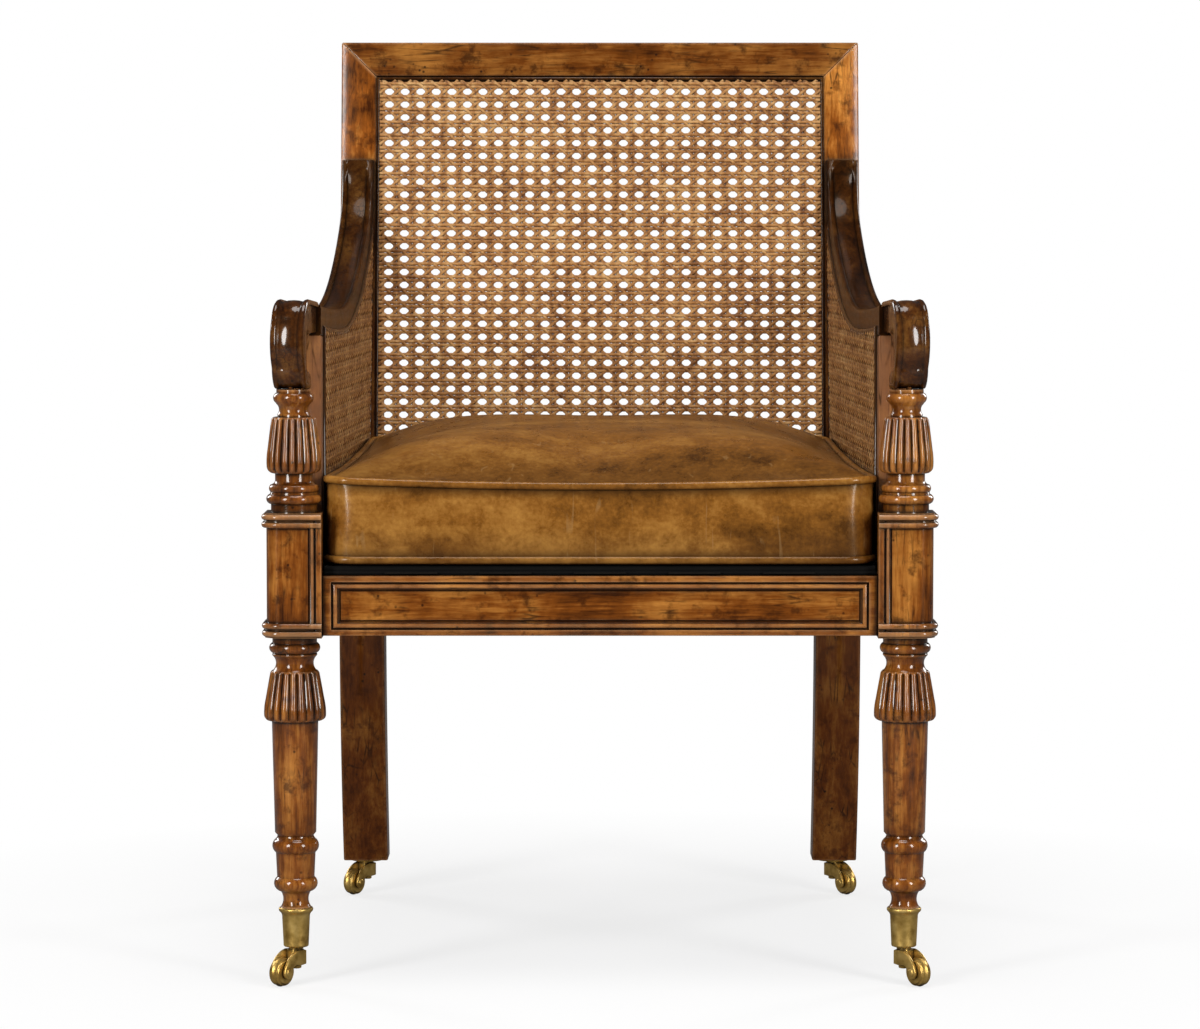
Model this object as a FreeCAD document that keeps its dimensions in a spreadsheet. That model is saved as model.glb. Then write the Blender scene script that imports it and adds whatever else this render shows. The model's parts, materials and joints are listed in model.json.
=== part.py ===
import FreeCAD, Part
import math
import os
import re
import Sketcher
from FreeCAD import Placement, Rotation, Vector

# A caned bergere armchair on brass casters. Millimetres, X right, -Y front, Z up.
# Depths are measured backwards from the front leg axes, heights from the floor.

SIZES = {
    # Plan and seat frame
    "front_axis_half": 292,
    "front_axis_y": -286,
    "block_side": 55,
    "block_margin": 9,
    "block_panel_sink": 2.5,
    "block_corner": 16,
    "collar_out": 3,
    "collar_tall": 7,
    "front_rail_front": 22,
    "front_rail_thick": 28,
    "seat_rail_lift": 2,
    "seat_rail_tall": 57,
    "moulding_margin": 7,
    "moulding_groove": 2.5,
    "moulding_bead": 6,
    "moulding_sink": 4,
    # Side frames
    "side_inset": 8.4,
    "side_start": 28,
    "side_thick": 32,
    "side_ledge": 8,
    "side_lower_tall": 35,
    "stile_wide": 30,
    "rear_stile_wide": 22,
    # Rear posts and back frame
    "back_half": 278,
    "rear_post_wide": 48,
    "rear_post_front": 482,
    "rear_post_deep": 44,
    "rear_post_top_deep": 32,
    "rear_foot_deep": 42,
    "rear_leg_bottom": 38,
    "rear_leg_splay": 66,
    "leg_curve_lift": 7,
    "rake_angle": 10,
    "rake_lift": 79,
    "back_height": 922,
    "top_rail_tall": 48,
    "back_rail_thick": 28,
    "lower_back_rail_tall": 44,
    "rear_rail_thick": 28,
    # Cane panels
    "rebate_wide": 11,
    "rebate_deep": 2.5,
    "cane_thick": 2,
    "spline_wide": 5,
    "spline_proud": 1.5,
    "cane_gap_wide": 20,
    "cane_gap_tall": 13,
    "cane_pitch_wide": 32.5,
    "cane_pitch_tall": 20.8,
    "cane_border": 8,
    # Arms
    "arm_joint": 3,
    "arm_deep": 30,
    "arm_front_lift": 80,
    "arm_dip_lift": 71.5,
    "arm_dip_reach": 202,
    "arm_sweep_round": 467,
    "arm_turn_round": 80,
    "arm_turn_past": 47,
    "arm_channel_wide": 18,
    "arm_channel_deep": 2.5,
    "arm_channel_start": 24,
    "scroll_wide": 33,
    "scroll_flare": 12,
    "scroll_front": 27,
    "scroll_tall": 84,
    "tongue_back": 3,
    # Seat
    "strap_wide": 50,
    "strap_thick": 1.5,
    "strap_gap": 0.1,
    "strap_bearing": 6,
    "deck_thick": 5.6,
    "deck_front": 12,
    "deck_clear": 1,
    "cushion_front": 16,
    "cushion_rear": 474,
    "cushion_block_clear": 3.5,
    "cushion_side_clear": 5,
    "cushion_corner": 14,
    "cushion_draw": 5,
    "cushion_clear": 0.4,
    "cushion_side_tall": 82,
    "cushion_rear_rise": 14,
    "cushion_crown": 40,
    "cover_thick": 3,
    "core_gap": 0.3,
    # Joinery
    "dowel_round": 5,
    "scroll_dowel_round": 3,
    "dowel_gap": 0.1,
    "dowel_end_gap": 1,
    "dowel_inset": 11,
    "corner_leg": 60,
    "corner_tall": 40,
    "corner_gap": 0.3,
    "screw_round": 2,
    "screw_head_round": 4,
    "screw_head_tall": 2.5,
    "screw_gap": 0.1,
    "screw_grip": 16,
    # Casters
    "wheel_round": 14,
    "wheel_wide": 12,
    "wheel_crown": 9,
    "caster_trail": 21,
    "caster_turn": 52,
    "cheek_thick": 3.2,
    "cheek_clear": 0.8,
    "boss_round": 6,
    "hub_round": 6.5,
    "horn_top": 33.9,
    "horn_bottom": 18.7,
    "axle_round": 2.5,
    "axle_head_round": 4,
    "axle_head_tall": 1.2,
    "pin_round": 3,
    "pin_nub_round": 5,
    "pin_nub_tall": 3.6,
    "run_gap": 0.05,
    "washer_round": 7,
    "washer_tall": 2,
    "cup_wall": 1.6,
    "cup_floor": 2,
    "cup_gap": 0.1,
    "cup_rim_round": 16.4,
    "cup_rim_tall": 5.5,
    "plate_round": 18,
    "plate_screw_ring": 12,
    "plate_screw_long": 22,
}

# The turned front post, from the foot spigot up: name, rise, radius, rounding of the
# edge below the point (0 a line, positive a bead, negative a cove).
TURNING = [
    ("spigot_foot", 0, 10.4, 0),
    ("spigot_top", 36, 12.9, 0),
    ("shoulder", 0, 14.9, 0),
    ("foot_cove", 15.6, 14.5, -13),
    ("foot_ring", 13.9, 17.9, 7.8),
    ("foot_drum", 23.6, 19, 0),
    ("ankle_ring", 12.4, 20, 13.6),
    ("ankle_cove", 4.2, 17.3, -6),
    ("shaft_foot", 3, 19.1, 0),
    ("shaft", 107.8, 22.2, 0),
    ("bulb_seat", 0, 20, 0),
    ("bulb", 47.8, 20, 0),
    ("bulb_cap", 0, 21.1, 0),
    ("neck_cove", 14, 20.7, -9.8),
    ("neck_bead", 2.8, 20.7, 1.6),
    ("collar_foot", 0.7, 22, 0),
    ("collar_ring", 9, 22, 5.4),
    ("collar_neck", 0, 21.3, 0),
    ("block_foot", 6.5, 21.3, 0),
    ("block", 119, 21.3, 0),
    ("block_neck", 0, 22, 0),
    ("base_neck", 8, 22, 0),
    ("base_step", 0, 23.5, 0),
    ("base_ring", 9, 23.5, 4.9),
    ("base_groove", 0, 23, 0),
    ("base_fillet", 2, 22.4, 0),
    ("second_ring", 7, 22.4, 4.9),
    ("waist_slope", 3.5, 18, 0),
    ("waist", 7.5, 18, 0),
    ("vase_seat", 0, 15, 0),
    ("vase", 53.7, 15, 0),
    ("vase_cap", 0, 15.5, 0),
    ("cap_fillet", 2.3, 15.5, 0),
    ("cap_cove", 10, 16.4, -7.2),
    ("disc_step", 1, 17, 0),
    ("disc", 9.6, 17, 5.9),
    ("post_cap", 0, 16.4, 0),
    ("post_end", 3.4, 16.4, 0),
]

# Reeded swellings: share of the swelling's height, then the radius over the reeds.
REEDS = {
    "bulb": [(0, 25.4), (0.1, 29.7), (0.42, 28.2), (0.76, 25.3), (0.95, 23.6), (1, 21.8)],
    "vase": [(0, 20.5), (0.11, 26), (0.42, 25.2), (0.74, 23), (0.96, 21.4), (1, 17.6)],
}

for name, rise, radius, rounding in TURNING:
    SIZES[f"{name}_radius"] = radius
    if rise:
        SIZES[f"{name}_rise"] = rise
    if rounding:
        SIZES[f"{name}_round"] = abs(rounding)
SIZES["spigot_base"] = 38.4
SIZES["reed_count"] = 20
SIZES["reed_deep"] = 1.3

SIDES = {"right": 1, "left": -1}
nodes = {}

doc = FreeCAD.newDocument("bergere_chair")
sheet = doc.addObject("Spreadsheet::Sheet", "dims")
for row, (alias, value) in enumerate(SIZES.items(), start=1):
    sheet.set(f"A{row}", alias)
    sheet.set(f"B{row}", str(value))
    sheet.setAlias(f"B{row}", alias)
doc.recompute()


# Reading and binding sizes

def full(text):
    def named(match):
        word = match.group(0)
        return f"dims.{word}" if word in SIZES else word
    return re.sub(r"[a-z_]+", named, str(text))


def number(text):
    return float(sheet.evalExpression(full(text)))


def bind(item, **texts):
    for name, text in texts.items():
        item.setExpression(name, full(text))


def at(across, depth, height):
    return Vector(number(across), number("front_axis_y") + number(depth), number(height))


def turned_text(last):
    rises = ["spigot_base"]
    for name, rise, _, _ in TURNING:
        if rise:
            rises.append(f"{name}_rise")
        if name == last:
            break
    return " + ".join(rises)


BLOCK_FOOT = turned_text("block_foot")
BLOCK_TOP = turned_text("block")
POST_TOP = turned_text("post_end")
RAIL_FOOT = f"{BLOCK_FOOT} + seat_rail_lift"
RAIL_TOP = f"{RAIL_FOOT} + seat_rail_tall"
SIDE_LOWER_TOP = f"{RAIL_TOP} + side_lower_tall"
RAKE_FOOT = f"{RAIL_FOOT} + rake_lift"
DECK_FOOT = f"{RAIL_TOP} + 2 * strap_thick + 3 * strap_gap"
DECK_TOP = f"{DECK_FOOT} + deck_thick"
REAR_INNER = "back_half - rear_post_wide"
SIDE_HALF = "front_axis_half - side_inset"
SIDE_SLOPE = f"({SIDE_HALF} - back_half + side_thick / 2) / (rear_post_front - side_start)"
SIDE_ANGLE = math.degrees(math.atan(number(SIDE_SLOPE)))
RAKE = math.radians(number("rake_angle"))

SIDE_PLACE = Placement(at(SIDE_HALF, "side_start", 0), Rotation(Vector(0, 0, 1), SIDE_ANGLE))
BACK_PLACE = Placement(at(0, "rear_post_front", RAKE_FOOT), Rotation(Vector(1, 0, 0), -number("rake_angle")))


# Drawing sketches and features

def new_body(label):
    body = doc.addObject("PartDesign::Body", label)
    body.Label = label
    return body


def sketch_in(body, role, offset=None):
    sketch = body.newObject("Sketcher::SketchObject", f"{body.Name}_sketch")
    planes = [item for item in body.Origin.OriginFeatures if item.Role == role]
    sketch.AttachmentSupport = [(planes[0], "")]
    sketch.MapMode = "FlatFace"
    if offset:
        sketch.AttachmentOffset = offset
    return sketch


def arc_middle(start, end, rounding):
    chord = end - start
    sag = abs(rounding) - math.sqrt(max(rounding ** 2 - chord.Length ** 2 / 4, 0))
    outward = Vector(chord.y, -chord.x, 0).normalize()
    return (start + end) * 0.5 + outward * math.copysign(sag, rounding)


def edge_between(start, end, rounding):
    if rounding:
        return Part.Arc(start, arc_middle(start, end, rounding), end)
    return Part.LineSegment(start, end)


def bind_length(sketch, constraint, text):
    index = sketch.addConstraint(constraint)
    sketch.setExpression(f"Constraints[{index}]", full(text))


def fix_corner(sketch, edge, end, across, up):
    for kind, axis, text in (("DistanceX", -2, across), ("DistanceY", -1, up)):
        value = number(text)
        if abs(value) < 1e-7:
            sketch.addConstraint(Sketcher.Constraint("PointOnObject", edge, end, axis))
        elif value > 0:
            bind_length(sketch, Sketcher.Constraint(kind, -1, 1, edge, end, value), text)
        else:
            bind_length(sketch, Sketcher.Constraint(kind, edge, end, -1, 1, -value), f"-({text})")


def draw(sketch, corners, bound=True):
    # A corner is (across, up) or (across, up, rounding of the edge that leaves it).
    points = [Vector(number(corner[0]), number(corner[1]), 0) for corner in corners]
    edges = []
    for index, corner in enumerate(corners):
        start = points[index]
        end = points[(index + 1) % len(points)]
        rounding = number(corner[2]) if len(corner) > 2 else 0
        edge = sketch.addGeometry(edge_between(start, end, rounding))
        first = 1 if (sketch.getPoint(edge, 1) - start).Length < 1e-6 else 2
        edges.append((edge, first, 3 - first))
        if rounding and bound:
            bind_length(sketch, Sketcher.Constraint("Radius", edge, abs(rounding)), f"abs({corner[2]})")
    for index, corner in enumerate(corners):
        edge, first, _ = edges[index]
        before, _, last = edges[index - 1]
        sketch.addConstraint(Sketcher.Constraint("Coincident", before, last, edge, first))
        if bound:
            fix_corner(sketch, edge, first, corner[0], corner[1])


def rectangle(left, right, low, high):
    return [(left, low), (right, low), (right, high), (left, high)]


def circle(sketch, across, up, radius):
    centre = Vector(number(across), number(up), 0)
    ring = sketch.addGeometry(Part.Circle(centre, Vector(0, 0, 1), number(radius)))
    bind_length(sketch, Sketcher.Constraint("Radius", ring, number(radius)), radius)
    fix_corner(sketch, ring, 3, across, up)


def pad(body, sketch, length, symmetric=False, reverse=False):
    feature = body.newObject("PartDesign::Pad", f"{body.Name}_pad")
    feature.Profile = sketch
    feature.SideType = "Symmetric" if symmetric else "One side"
    feature.Reversed = reverse
    bind(feature, Length=length)


def pocket(body, sketch, depth=None, reverse=False):
    feature = body.newObject("PartDesign::Pocket", f"{body.Name}_pocket")
    feature.Profile = sketch
    feature.Reversed = reverse
    if depth:
        bind(feature, Length=depth)
    else:
        feature.Type = "ThroughAll"
        feature.SideType = "Symmetric"


def slot(body, sketch, width):
    feature = body.newObject("PartDesign::Pocket", f"{body.Name}_slot")
    feature.Profile = sketch
    feature.SideType = "Symmetric"
    bind(feature, Length=width)


def revolve(body, sketch):
    feature = body.newObject("PartDesign::Revolution", f"{body.Name}_turned")
    feature.Profile = sketch
    feature.ReferenceAxis = (sketch, ["V_Axis"])
    feature.Angle = 360


def turned(label, corners, place, role="XZ_Plane"):
    body = new_body(label)
    sketch = sketch_in(body, role)
    draw(sketch, corners)
    revolve(body, sketch)
    body.Placement = place
    return body


def box(label, place, **sizes):
    item = doc.addObject("Part::Box", label)
    item.Label = label
    bind(item, **sizes)
    item.Placement = place
    return item


def cylinder(label, radius, height, start, direction):
    item = doc.addObject("Part::Cylinder", label)
    item.Label = label
    bind(item, Radius=radius, Height=height)
    item.Placement = Placement(start, Rotation(Vector(0, 0, 1), direction))
    return item


def solid(label, shape, place=None):
    item = doc.addObject("Part::Feature", label)
    item.Label = label
    item.Shape = shape
    if place:
        item.Placement = place
    return item


def group(label, items):
    item = doc.addObject("Part::Compound", label)
    item.Label = label
    item.Links = items
    return item


def cut(label, base, tool):
    item = doc.addObject("Part::Cut", label)
    item.Label = label
    item.Base = base
    item.Tool = tool
    return item


def fuse(label, items):
    item = doc.addObject("Part::MultiFuse", label)
    item.Label = label
    item.Shapes = items
    return item


def mirrored(label, source):
    item = doc.addObject("Part::Mirroring", label)
    item.Label = label
    item.Source = source
    item.Normal = (1, 0, 0)
    return item


# Turned front posts

def reeded(name, base):
    rows = []
    tall = number(f"{name}_rise")
    count = int(number("reed_count"))
    step = 2 * math.pi / count
    for share, radius in REEDS[name]:
        height = number(base) + share * tall
        inner = radius - number("reed_deep")

        def spot(angle, reach):
            return Vector(reach * math.cos(angle), reach * math.sin(angle), height)

        arcs = []
        for reed in range(count):
            angle = reed * step
            ends = (spot(angle, inner), spot(angle + step / 2, radius), spot(angle + step, inner))
            arcs.append(Part.Arc(*ends).toShape())
        rows.append(Part.Wire(arcs))
    return Part.makeLoft(rows, True, False)


def block_section(sink, out):
    half = f"block_side / 2 + {out}"
    inner = "-block_side / 2"
    rear = "block_side / 2"
    corners = [(inner, f"-({half})")]
    front = f"-({half})"
    side = half
    if sink:
        corners.append((f"{inner} + block_margin", front))
        front = f"-({half} - {sink})"
        side = f"{half} - {sink}"
        corners.append((f"{inner} + block_margin", front))
    corners.append((f"{side} - block_corner", front, "block_corner"))
    corners.append((side, f"{front} + block_corner"))
    if sink:
        corners.append((side, f"{rear} - block_margin"))
        corners.append((half, f"{rear} - block_margin"))
    corners.append((half, rear))
    corners.append((inner, rear))
    return corners


def block_layer(body, section, foot, tall):
    sketch = sketch_in(body, "XY_Plane", Placement(Vector(0, 0, number(foot)), Rotation()))
    sketch.setExpression("AttachmentOffset.Base.z", full(foot))
    draw(sketch, section)
    pad(body, sketch, tall)


def front_post():
    body = new_body("front_post_turned")
    sketch = sketch_in(body, "XZ_Plane")
    corners = [(0, "spigot_base")]
    height = "spigot_base"
    for index, (name, rise, radius, rounding) in enumerate(TURNING):
        if rise:
            height = f"{height} + {name}_rise"
        if rounding:
            sign = "" if rounding > 0 else "-"
            corners[-1] = (*corners[-1], f"{sign}{name}_round")
        corners.append((f"{name}_radius", height))
    corners.append((0, height))
    draw(sketch, corners)
    revolve(body, sketch)
    block_layer(body, block_section("", "0"), BLOCK_FOOT, "2 * collar_tall")
    block_layer(body, block_section("block_panel_sink", "0"), BLOCK_FOOT, "block_rise")
    block_layer(body, block_section("", "0"), f"{BLOCK_TOP} - 2 * collar_tall", "2 * collar_tall")
    for foot in (BLOCK_FOOT, f"{BLOCK_TOP} - collar_tall"):
        block_layer(body, block_section("", "collar_out"), foot, "collar_tall")
    body.Placement = Placement(at("front_axis_half", 0, 0), Rotation())
    reeds = []
    for name, seat in (("bulb", "bulb_seat"), ("vase", "vase_seat")):
        reeds.append(solid(f"front_post_{name}", reeded(name, turned_text(seat)), body.Placement))
    return fuse("front_post_blank", [body, *reeds])


# Rear posts and the back frame

def back_depth(height):
    return f"rear_post_front + tan(rake_angle) * ({height} - ({RAKE_FOOT}))"


BACK_TALL = f"(back_height - ({RAKE_FOOT})) / cos(rake_angle)"
OPENING_TOP = f"{BACK_TALL} - top_rail_tall"
REBATE_HALF = f"{REAR_INNER} + rebate_wide"
REBATE_FOOT = "lower_back_rail_tall - rebate_wide"
REBATE_TOP = f"{OPENING_TOP} + rebate_wide"


def rear_post():
    body = new_body("rear_post_blank")
    plane = Placement(Vector(0, 0, number(REAR_INNER)), Rotation())
    sketch = sketch_in(body, "YZ_Plane", plane)
    sketch.setExpression("AttachmentOffset.Base.z", full(REAR_INNER))
    knee = f"{RAIL_FOOT} + leg_curve_lift"
    fall = f"({knee} - rear_leg_bottom)"
    back_splay = "(rear_leg_splay + rear_foot_deep - rear_post_deep)"
    front_round = f"(rear_leg_splay ^ 2 + {fall} ^ 2) / (2 * rear_leg_splay)"
    back_round = f"({back_splay} ^ 2 + {fall} ^ 2) / (2 * {back_splay})"
    axis = "front_axis_y"
    top_front = f"{axis} + {back_depth('back_height')}"
    draw(sketch, [
        (f"{axis} + rear_post_front + rear_leg_splay", "rear_leg_bottom"),
        (f"{axis} + rear_post_front + rear_leg_splay + rear_foot_deep", "rear_leg_bottom",
         f"-({back_round})"),
        (f"{axis} + rear_post_front + rear_post_deep", knee),
        (f"{axis} + rear_post_front + rear_post_deep", RAKE_FOOT),
        (f"{top_front} + rear_post_top_deep * cos(rake_angle)",
         "back_height - rear_post_top_deep * sin(rake_angle)"),
        (top_front, "back_height"),
        (f"{axis} + rear_post_front", RAKE_FOOT),
        (f"{axis} + rear_post_front", knee, front_round),
    ])
    pad(body, sketch, "rear_post_wide")
    raked = Placement(Vector(0, BACK_PLACE.Base.z, -BACK_PLACE.Base.y), BACK_PLACE.Rotation)
    mitre = sketch_in(body, "XZ_Plane", raked)
    over = "top_rail_tall"
    draw(mitre, [
        (f"{REAR_INNER} - {over}", f"{OPENING_TOP} - {over}"),
        (f"back_half + {over}", f"{BACK_TALL} + {over}"),
        (f"{REAR_INNER} - {over}", f"{BACK_TALL} + {over}"),
    ])
    pocket(body, mitre)
    rebate = sketch_in(body, "XZ_Plane", raked)
    draw(rebate, rectangle(f"{REAR_INNER} - 1", REBATE_HALF, REBATE_FOOT, REBATE_TOP))
    pocket(body, rebate, "rebate_deep")
    return body


def back_rail(label, corners, thick):
    body = new_body(label)
    sketch = sketch_in(body, "XZ_Plane")
    draw(sketch, corners)
    pad(body, sketch, thick, reverse=True)
    rebate = sketch_in(body, "XZ_Plane")
    draw(rebate, rectangle(f"-({REBATE_HALF})", REBATE_HALF, REBATE_FOOT, REBATE_TOP))
    pocket(body, rebate, "rebate_deep")
    body.Placement = BACK_PLACE
    return body


def top_rail():
    return back_rail("top_rail_blank", [
        (f"-({REAR_INNER})", OPENING_TOP),
        (REAR_INNER, OPENING_TOP),
        ("back_half", BACK_TALL),
        ("-back_half", BACK_TALL),
    ], "rear_post_top_deep - 2")


def lower_back_rail():
    corners = rectangle(f"-({REAR_INNER})", REAR_INNER, "0", "lower_back_rail_tall")
    return back_rail("lower_back_rail_blank", corners, "back_rail_thick")


# Seat frame

def side_half(depth, offset):
    return f"{SIDE_HALF} - {SIDE_SLOPE} * ({depth} - side_start) + {offset}"


SEAT_INNER = "-side_thick / 2 - side_ledge"
SEAT_OUTER = "side_thick / 2"


def side_seat_rail():
    body = new_body("side_seat_rail_blank")
    sketch = sketch_in(body, "XY_Plane", Placement(Vector(0, 0, number(RAIL_FOOT)), Rotation()))
    sketch.setExpression("AttachmentOffset.Base.z", full(RAIL_FOOT))
    corners = []
    for depth, ends in (("block_side / 2", (SEAT_INNER, SEAT_OUTER)),
                        ("rear_post_front", (SEAT_OUTER, SEAT_INNER))):
        for offset in ends:
            corners.append((side_half(depth, offset), f"front_axis_y + {depth}"))
    draw(sketch, corners)
    pad(body, sketch, "seat_rail_tall")
    return body


def front_seat_rail():
    body = new_body("front_seat_rail_blank")
    half = "front_axis_half - block_side / 2"
    sketch = sketch_in(body, "XZ_Plane")
    draw(sketch, rectangle(f"-({half})", half, "0", "seat_rail_tall"))
    pad(body, sketch, "front_rail_thick", reverse=True)

    def inset(edge):
        return rectangle(f"-({half} - ({edge}))", f"{half} - ({edge})", edge, f"seat_rail_tall - ({edge})")

    groove = sketch_in(body, "XZ_Plane")
    draw(groove, inset("moulding_margin"))
    draw(groove, inset("moulding_margin + moulding_groove"))
    pocket(body, groove, "moulding_groove")
    field = sketch_in(body, "XZ_Plane")
    draw(field, inset("moulding_margin + moulding_groove + moulding_bead"))
    pocket(body, field, "moulding_sink")
    body.Placement = Placement(at(0, "-front_rail_front", RAIL_FOOT), Rotation())
    return body


def rear_seat_rail():
    place = Placement(at(f"-({REAR_INNER})", "rear_post_front", RAIL_FOOT), Rotation())
    return box("rear_seat_rail_blank", place, Length=f"2 * ({REAR_INNER})", Width="rear_rail_thick",
               Height="seat_rail_tall")


# Side frames, drawn in their own plane: distance back along the side, then height

DIP_Z = number(POST_TOP) + number("arm_dip_lift")
DIP_Y = number("arm_dip_reach")
FRONT_RISE = number("arm_front_lift") - number("arm_dip_lift")
JOINT_Y = number("arm_joint")
FRONT_ROUND = ((DIP_Y - JOINT_Y) ** 2 + FRONT_RISE ** 2) / (2 * FRONT_RISE)
SWEEP_ROUND = number("arm_sweep_round")
TURN_ROUND = number("arm_turn_round")
FRONT_CENTRE = Vector(DIP_Y, DIP_Z + FRONT_ROUND, 0)
SWEEP_CENTRE = Vector(DIP_Y, DIP_Z + SWEEP_ROUND, 0)
TURN_Y = number("rear_post_front - side_start + arm_turn_past") - TURN_ROUND
TURN_DROP = math.sqrt((SWEEP_ROUND - TURN_ROUND) ** 2 - (TURN_Y - DIP_Y) ** 2)
TURN_CENTRE = Vector(TURN_Y, SWEEP_CENTRE.y - TURN_DROP, 0)


def front_arc_height(along, offset):
    return FRONT_CENTRE.y - math.sqrt((FRONT_ROUND + offset) ** 2 - (along - DIP_Y) ** 2)


def post_face(height):
    reach = number("rear_post_front") - number("side_start")
    return reach + max(height - number(RAKE_FOOT), 0) * math.tan(RAKE)


def turn_meets_face(gap, offset):
    # Where a line parallel to the post face meets the arm's last arc.
    low = TURN_CENTRE.y - TURN_ROUND - offset
    high = TURN_CENTRE.y
    for _ in range(60):
        height = (low + high) / 2
        away = Vector(post_face(height) - gap, height, 0) - TURN_CENTRE
        if away.Length > TURN_ROUND + offset:
            low = height
        else:
            high = height
    return (post_face(high) - gap, high)


def arm_curve(offset, start, finish=None):
    # Corners from front to back along the arm's top line, lowered by the offset.
    towards = (TURN_CENTRE - SWEEP_CENTRE).normalize()
    joint = SWEEP_CENTRE + towards * (SWEEP_ROUND + offset)
    corners = []
    if start < DIP_Y:
        corners.append((start, front_arc_height(start, offset), FRONT_ROUND + offset))
    corners.append((DIP_Y, DIP_Z - offset, SWEEP_ROUND + offset))
    corners.append((joint.x, joint.y, TURN_ROUND + offset))
    corners.append(finish or (TURN_CENTRE.x + TURN_ROUND + offset, TURN_CENTRE.y))
    return corners


def backwards(corners):
    turned_round = []
    for index in range(len(corners) - 1, -1, -1):
        rounding = -corners[index - 1][2] if index else 0
        turned_round.append((corners[index][0], corners[index][1], rounding))
    return turned_round


def side_body(label, corners, thick, lateral=None, holes=()):
    body = new_body(label)
    offset = None
    if lateral is not None:
        offset = Placement(Vector(0, 0, lateral), Rotation())
    sketch = sketch_in(body, "YZ_Plane", offset)
    draw(sketch, corners, bound=False)
    for hole in holes:
        draw(sketch, hole, bound=False)
    pad(body, sketch, thick, symmetric=lateral is None)
    body.Placement = SIDE_PLACE
    return body


def side_outline(inset):
    edge = number("rebate_wide")
    front = number("stile_wide") - edge + inset
    foot = number(SIDE_LOWER_TOP) - edge + inset
    gap = number("rear_stile_wide") - edge + inset
    offset = number("arm_deep") - edge + inset
    top = arm_curve(offset, front, turn_meets_face(gap, offset))
    return [(front, foot), (post_face(foot) - gap, foot), *backwards(top)]


INNER_FACE = -number("side_thick") / 2
REBATE_FLOOR = INNER_FACE + number("rebate_deep")


def arm_rail(post):
    bottom = arm_curve(number("arm_deep"), JOINT_Y)
    top = backwards(arm_curve(0, JOINT_Y))
    body = side_body("arm_rail_profile", [*bottom, *top], "side_thick")
    deep = number("arm_channel_deep")
    start = number("arm_channel_start")
    channel = sketch_in(body, "YZ_Plane")
    draw(channel, [*arm_curve(deep, start), *backwards(arm_curve(-deep, start))], bound=False)
    slot(body, channel, "arm_channel_wide")
    return cut("arm_rail_fitted", body, post)


def front_stile():
    wide = number("stile_wide")
    offset = number("arm_deep")
    heel = 0.4
    top = [(wide, front_arc_height(wide, offset), -(FRONT_ROUND + offset))]
    top.append((heel, front_arc_height(heel, offset)))
    foot = number(RAIL_TOP)
    return side_body("side_front_stile_profile", [(heel, foot), (wide, foot), *top], "side_thick")


def rear_stile(post):
    wide = number("rear_stile_wide")
    offset = number("arm_deep")
    foot = number(SIDE_LOWER_TOP)
    into = 6
    front = turn_meets_face(wide, offset)
    rear = turn_meets_face(-into, offset)
    corners = [(post_face(foot) - wide, foot), (post_face(foot) + into, foot)]
    corners.append((rear[0], rear[1], -(TURN_ROUND + offset)))
    corners.append(front)
    body = side_body("side_rear_stile_profile", corners, "side_thick")
    return cut("side_rear_stile_fitted", body, post)


def side_lower_rail(post):
    into = 6
    foot = number(RAIL_TOP)
    place = SIDE_PLACE * Placement(Vector(INNER_FACE, number("stile_wide"), foot), Rotation())
    long = f"rear_post_front - side_start - stile_wide + {into}"
    item = box("side_lower_rail_box", place, Length="side_thick", Width=long, Height="side_lower_tall")
    return cut("side_lower_rail_fitted", item, post)


def side_rebate():
    over = number("rebate_deep")
    return side_body("side_rebate", side_outline(0), "2 * rebate_deep", lateral=INNER_FACE - over)


def side_spline():
    gap = number("dowel_gap")
    wide = number("spline_wide")
    foot = INNER_FACE - number("spline_proud")
    thick = "rebate_deep + spline_proud"
    return side_body("side_cane_spline_right", side_outline(gap), thick, foot, [side_outline(gap + wide)])


# Cane: a holed sheet whose gaps stand for the coarser rhythm of the weave

def flat_wire(corners, spot):
    points = [Vector(number(corner[0]), number(corner[1]), 0) for corner in corners]
    edges = []
    for index, corner in enumerate(corners):
        start = points[index]
        end = points[(index + 1) % len(points)]
        rounding = number(corner[2]) if len(corner) > 2 else 0
        middle = arc_middle(start, end, rounding) if rounding else None
        if middle:
            edges.append(Part.Arc(spot(start), spot(middle), spot(end)).toShape())
        else:
            edges.append(Part.makeLine(spot(start), spot(end)))
    return Part.Wire(edges)


def gap_corners(centre):
    half = number("cane_gap_wide") / 2
    rise = number("cane_gap_tall") / 2
    slope = half / 2
    spots = [(-half, 0), (-slope, -rise), (slope, -rise), (half, 0), (slope, rise), (-slope, rise)]
    return [(centre.x + across, centre.y + up) for across, up in spots]


def cane_sheet(outline, border, spot, push):
    def flat(point):
        return point

    field = Part.Face(flat_wire(border, flat))
    bounds = field.BoundBox
    wide = number("cane_pitch_wide")
    tall = number("cane_pitch_tall")
    columns = int(bounds.XLength // wide)
    rows = int(bounds.YLength // tall)
    left = bounds.Center.x - (columns - 1) * wide / 2
    foot = bounds.YMin + number("cane_gap_tall") / 2
    wires = [flat_wire(outline, spot)]
    for row in range(rows):
        for column in range(columns):
            centre = Vector(left + column * wide, foot + row * tall, 0)
            corners = gap_corners(centre)
            if all(field.isInside(Vector(*corner, 0), 0.01, True) for corner in corners):
                wires.append(flat_wire(corners, spot))
    print("cane gaps", len(wires) - 1)
    return Part.makeFace(wires, "Part::FaceMakerBullseye").extrude(push)


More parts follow.
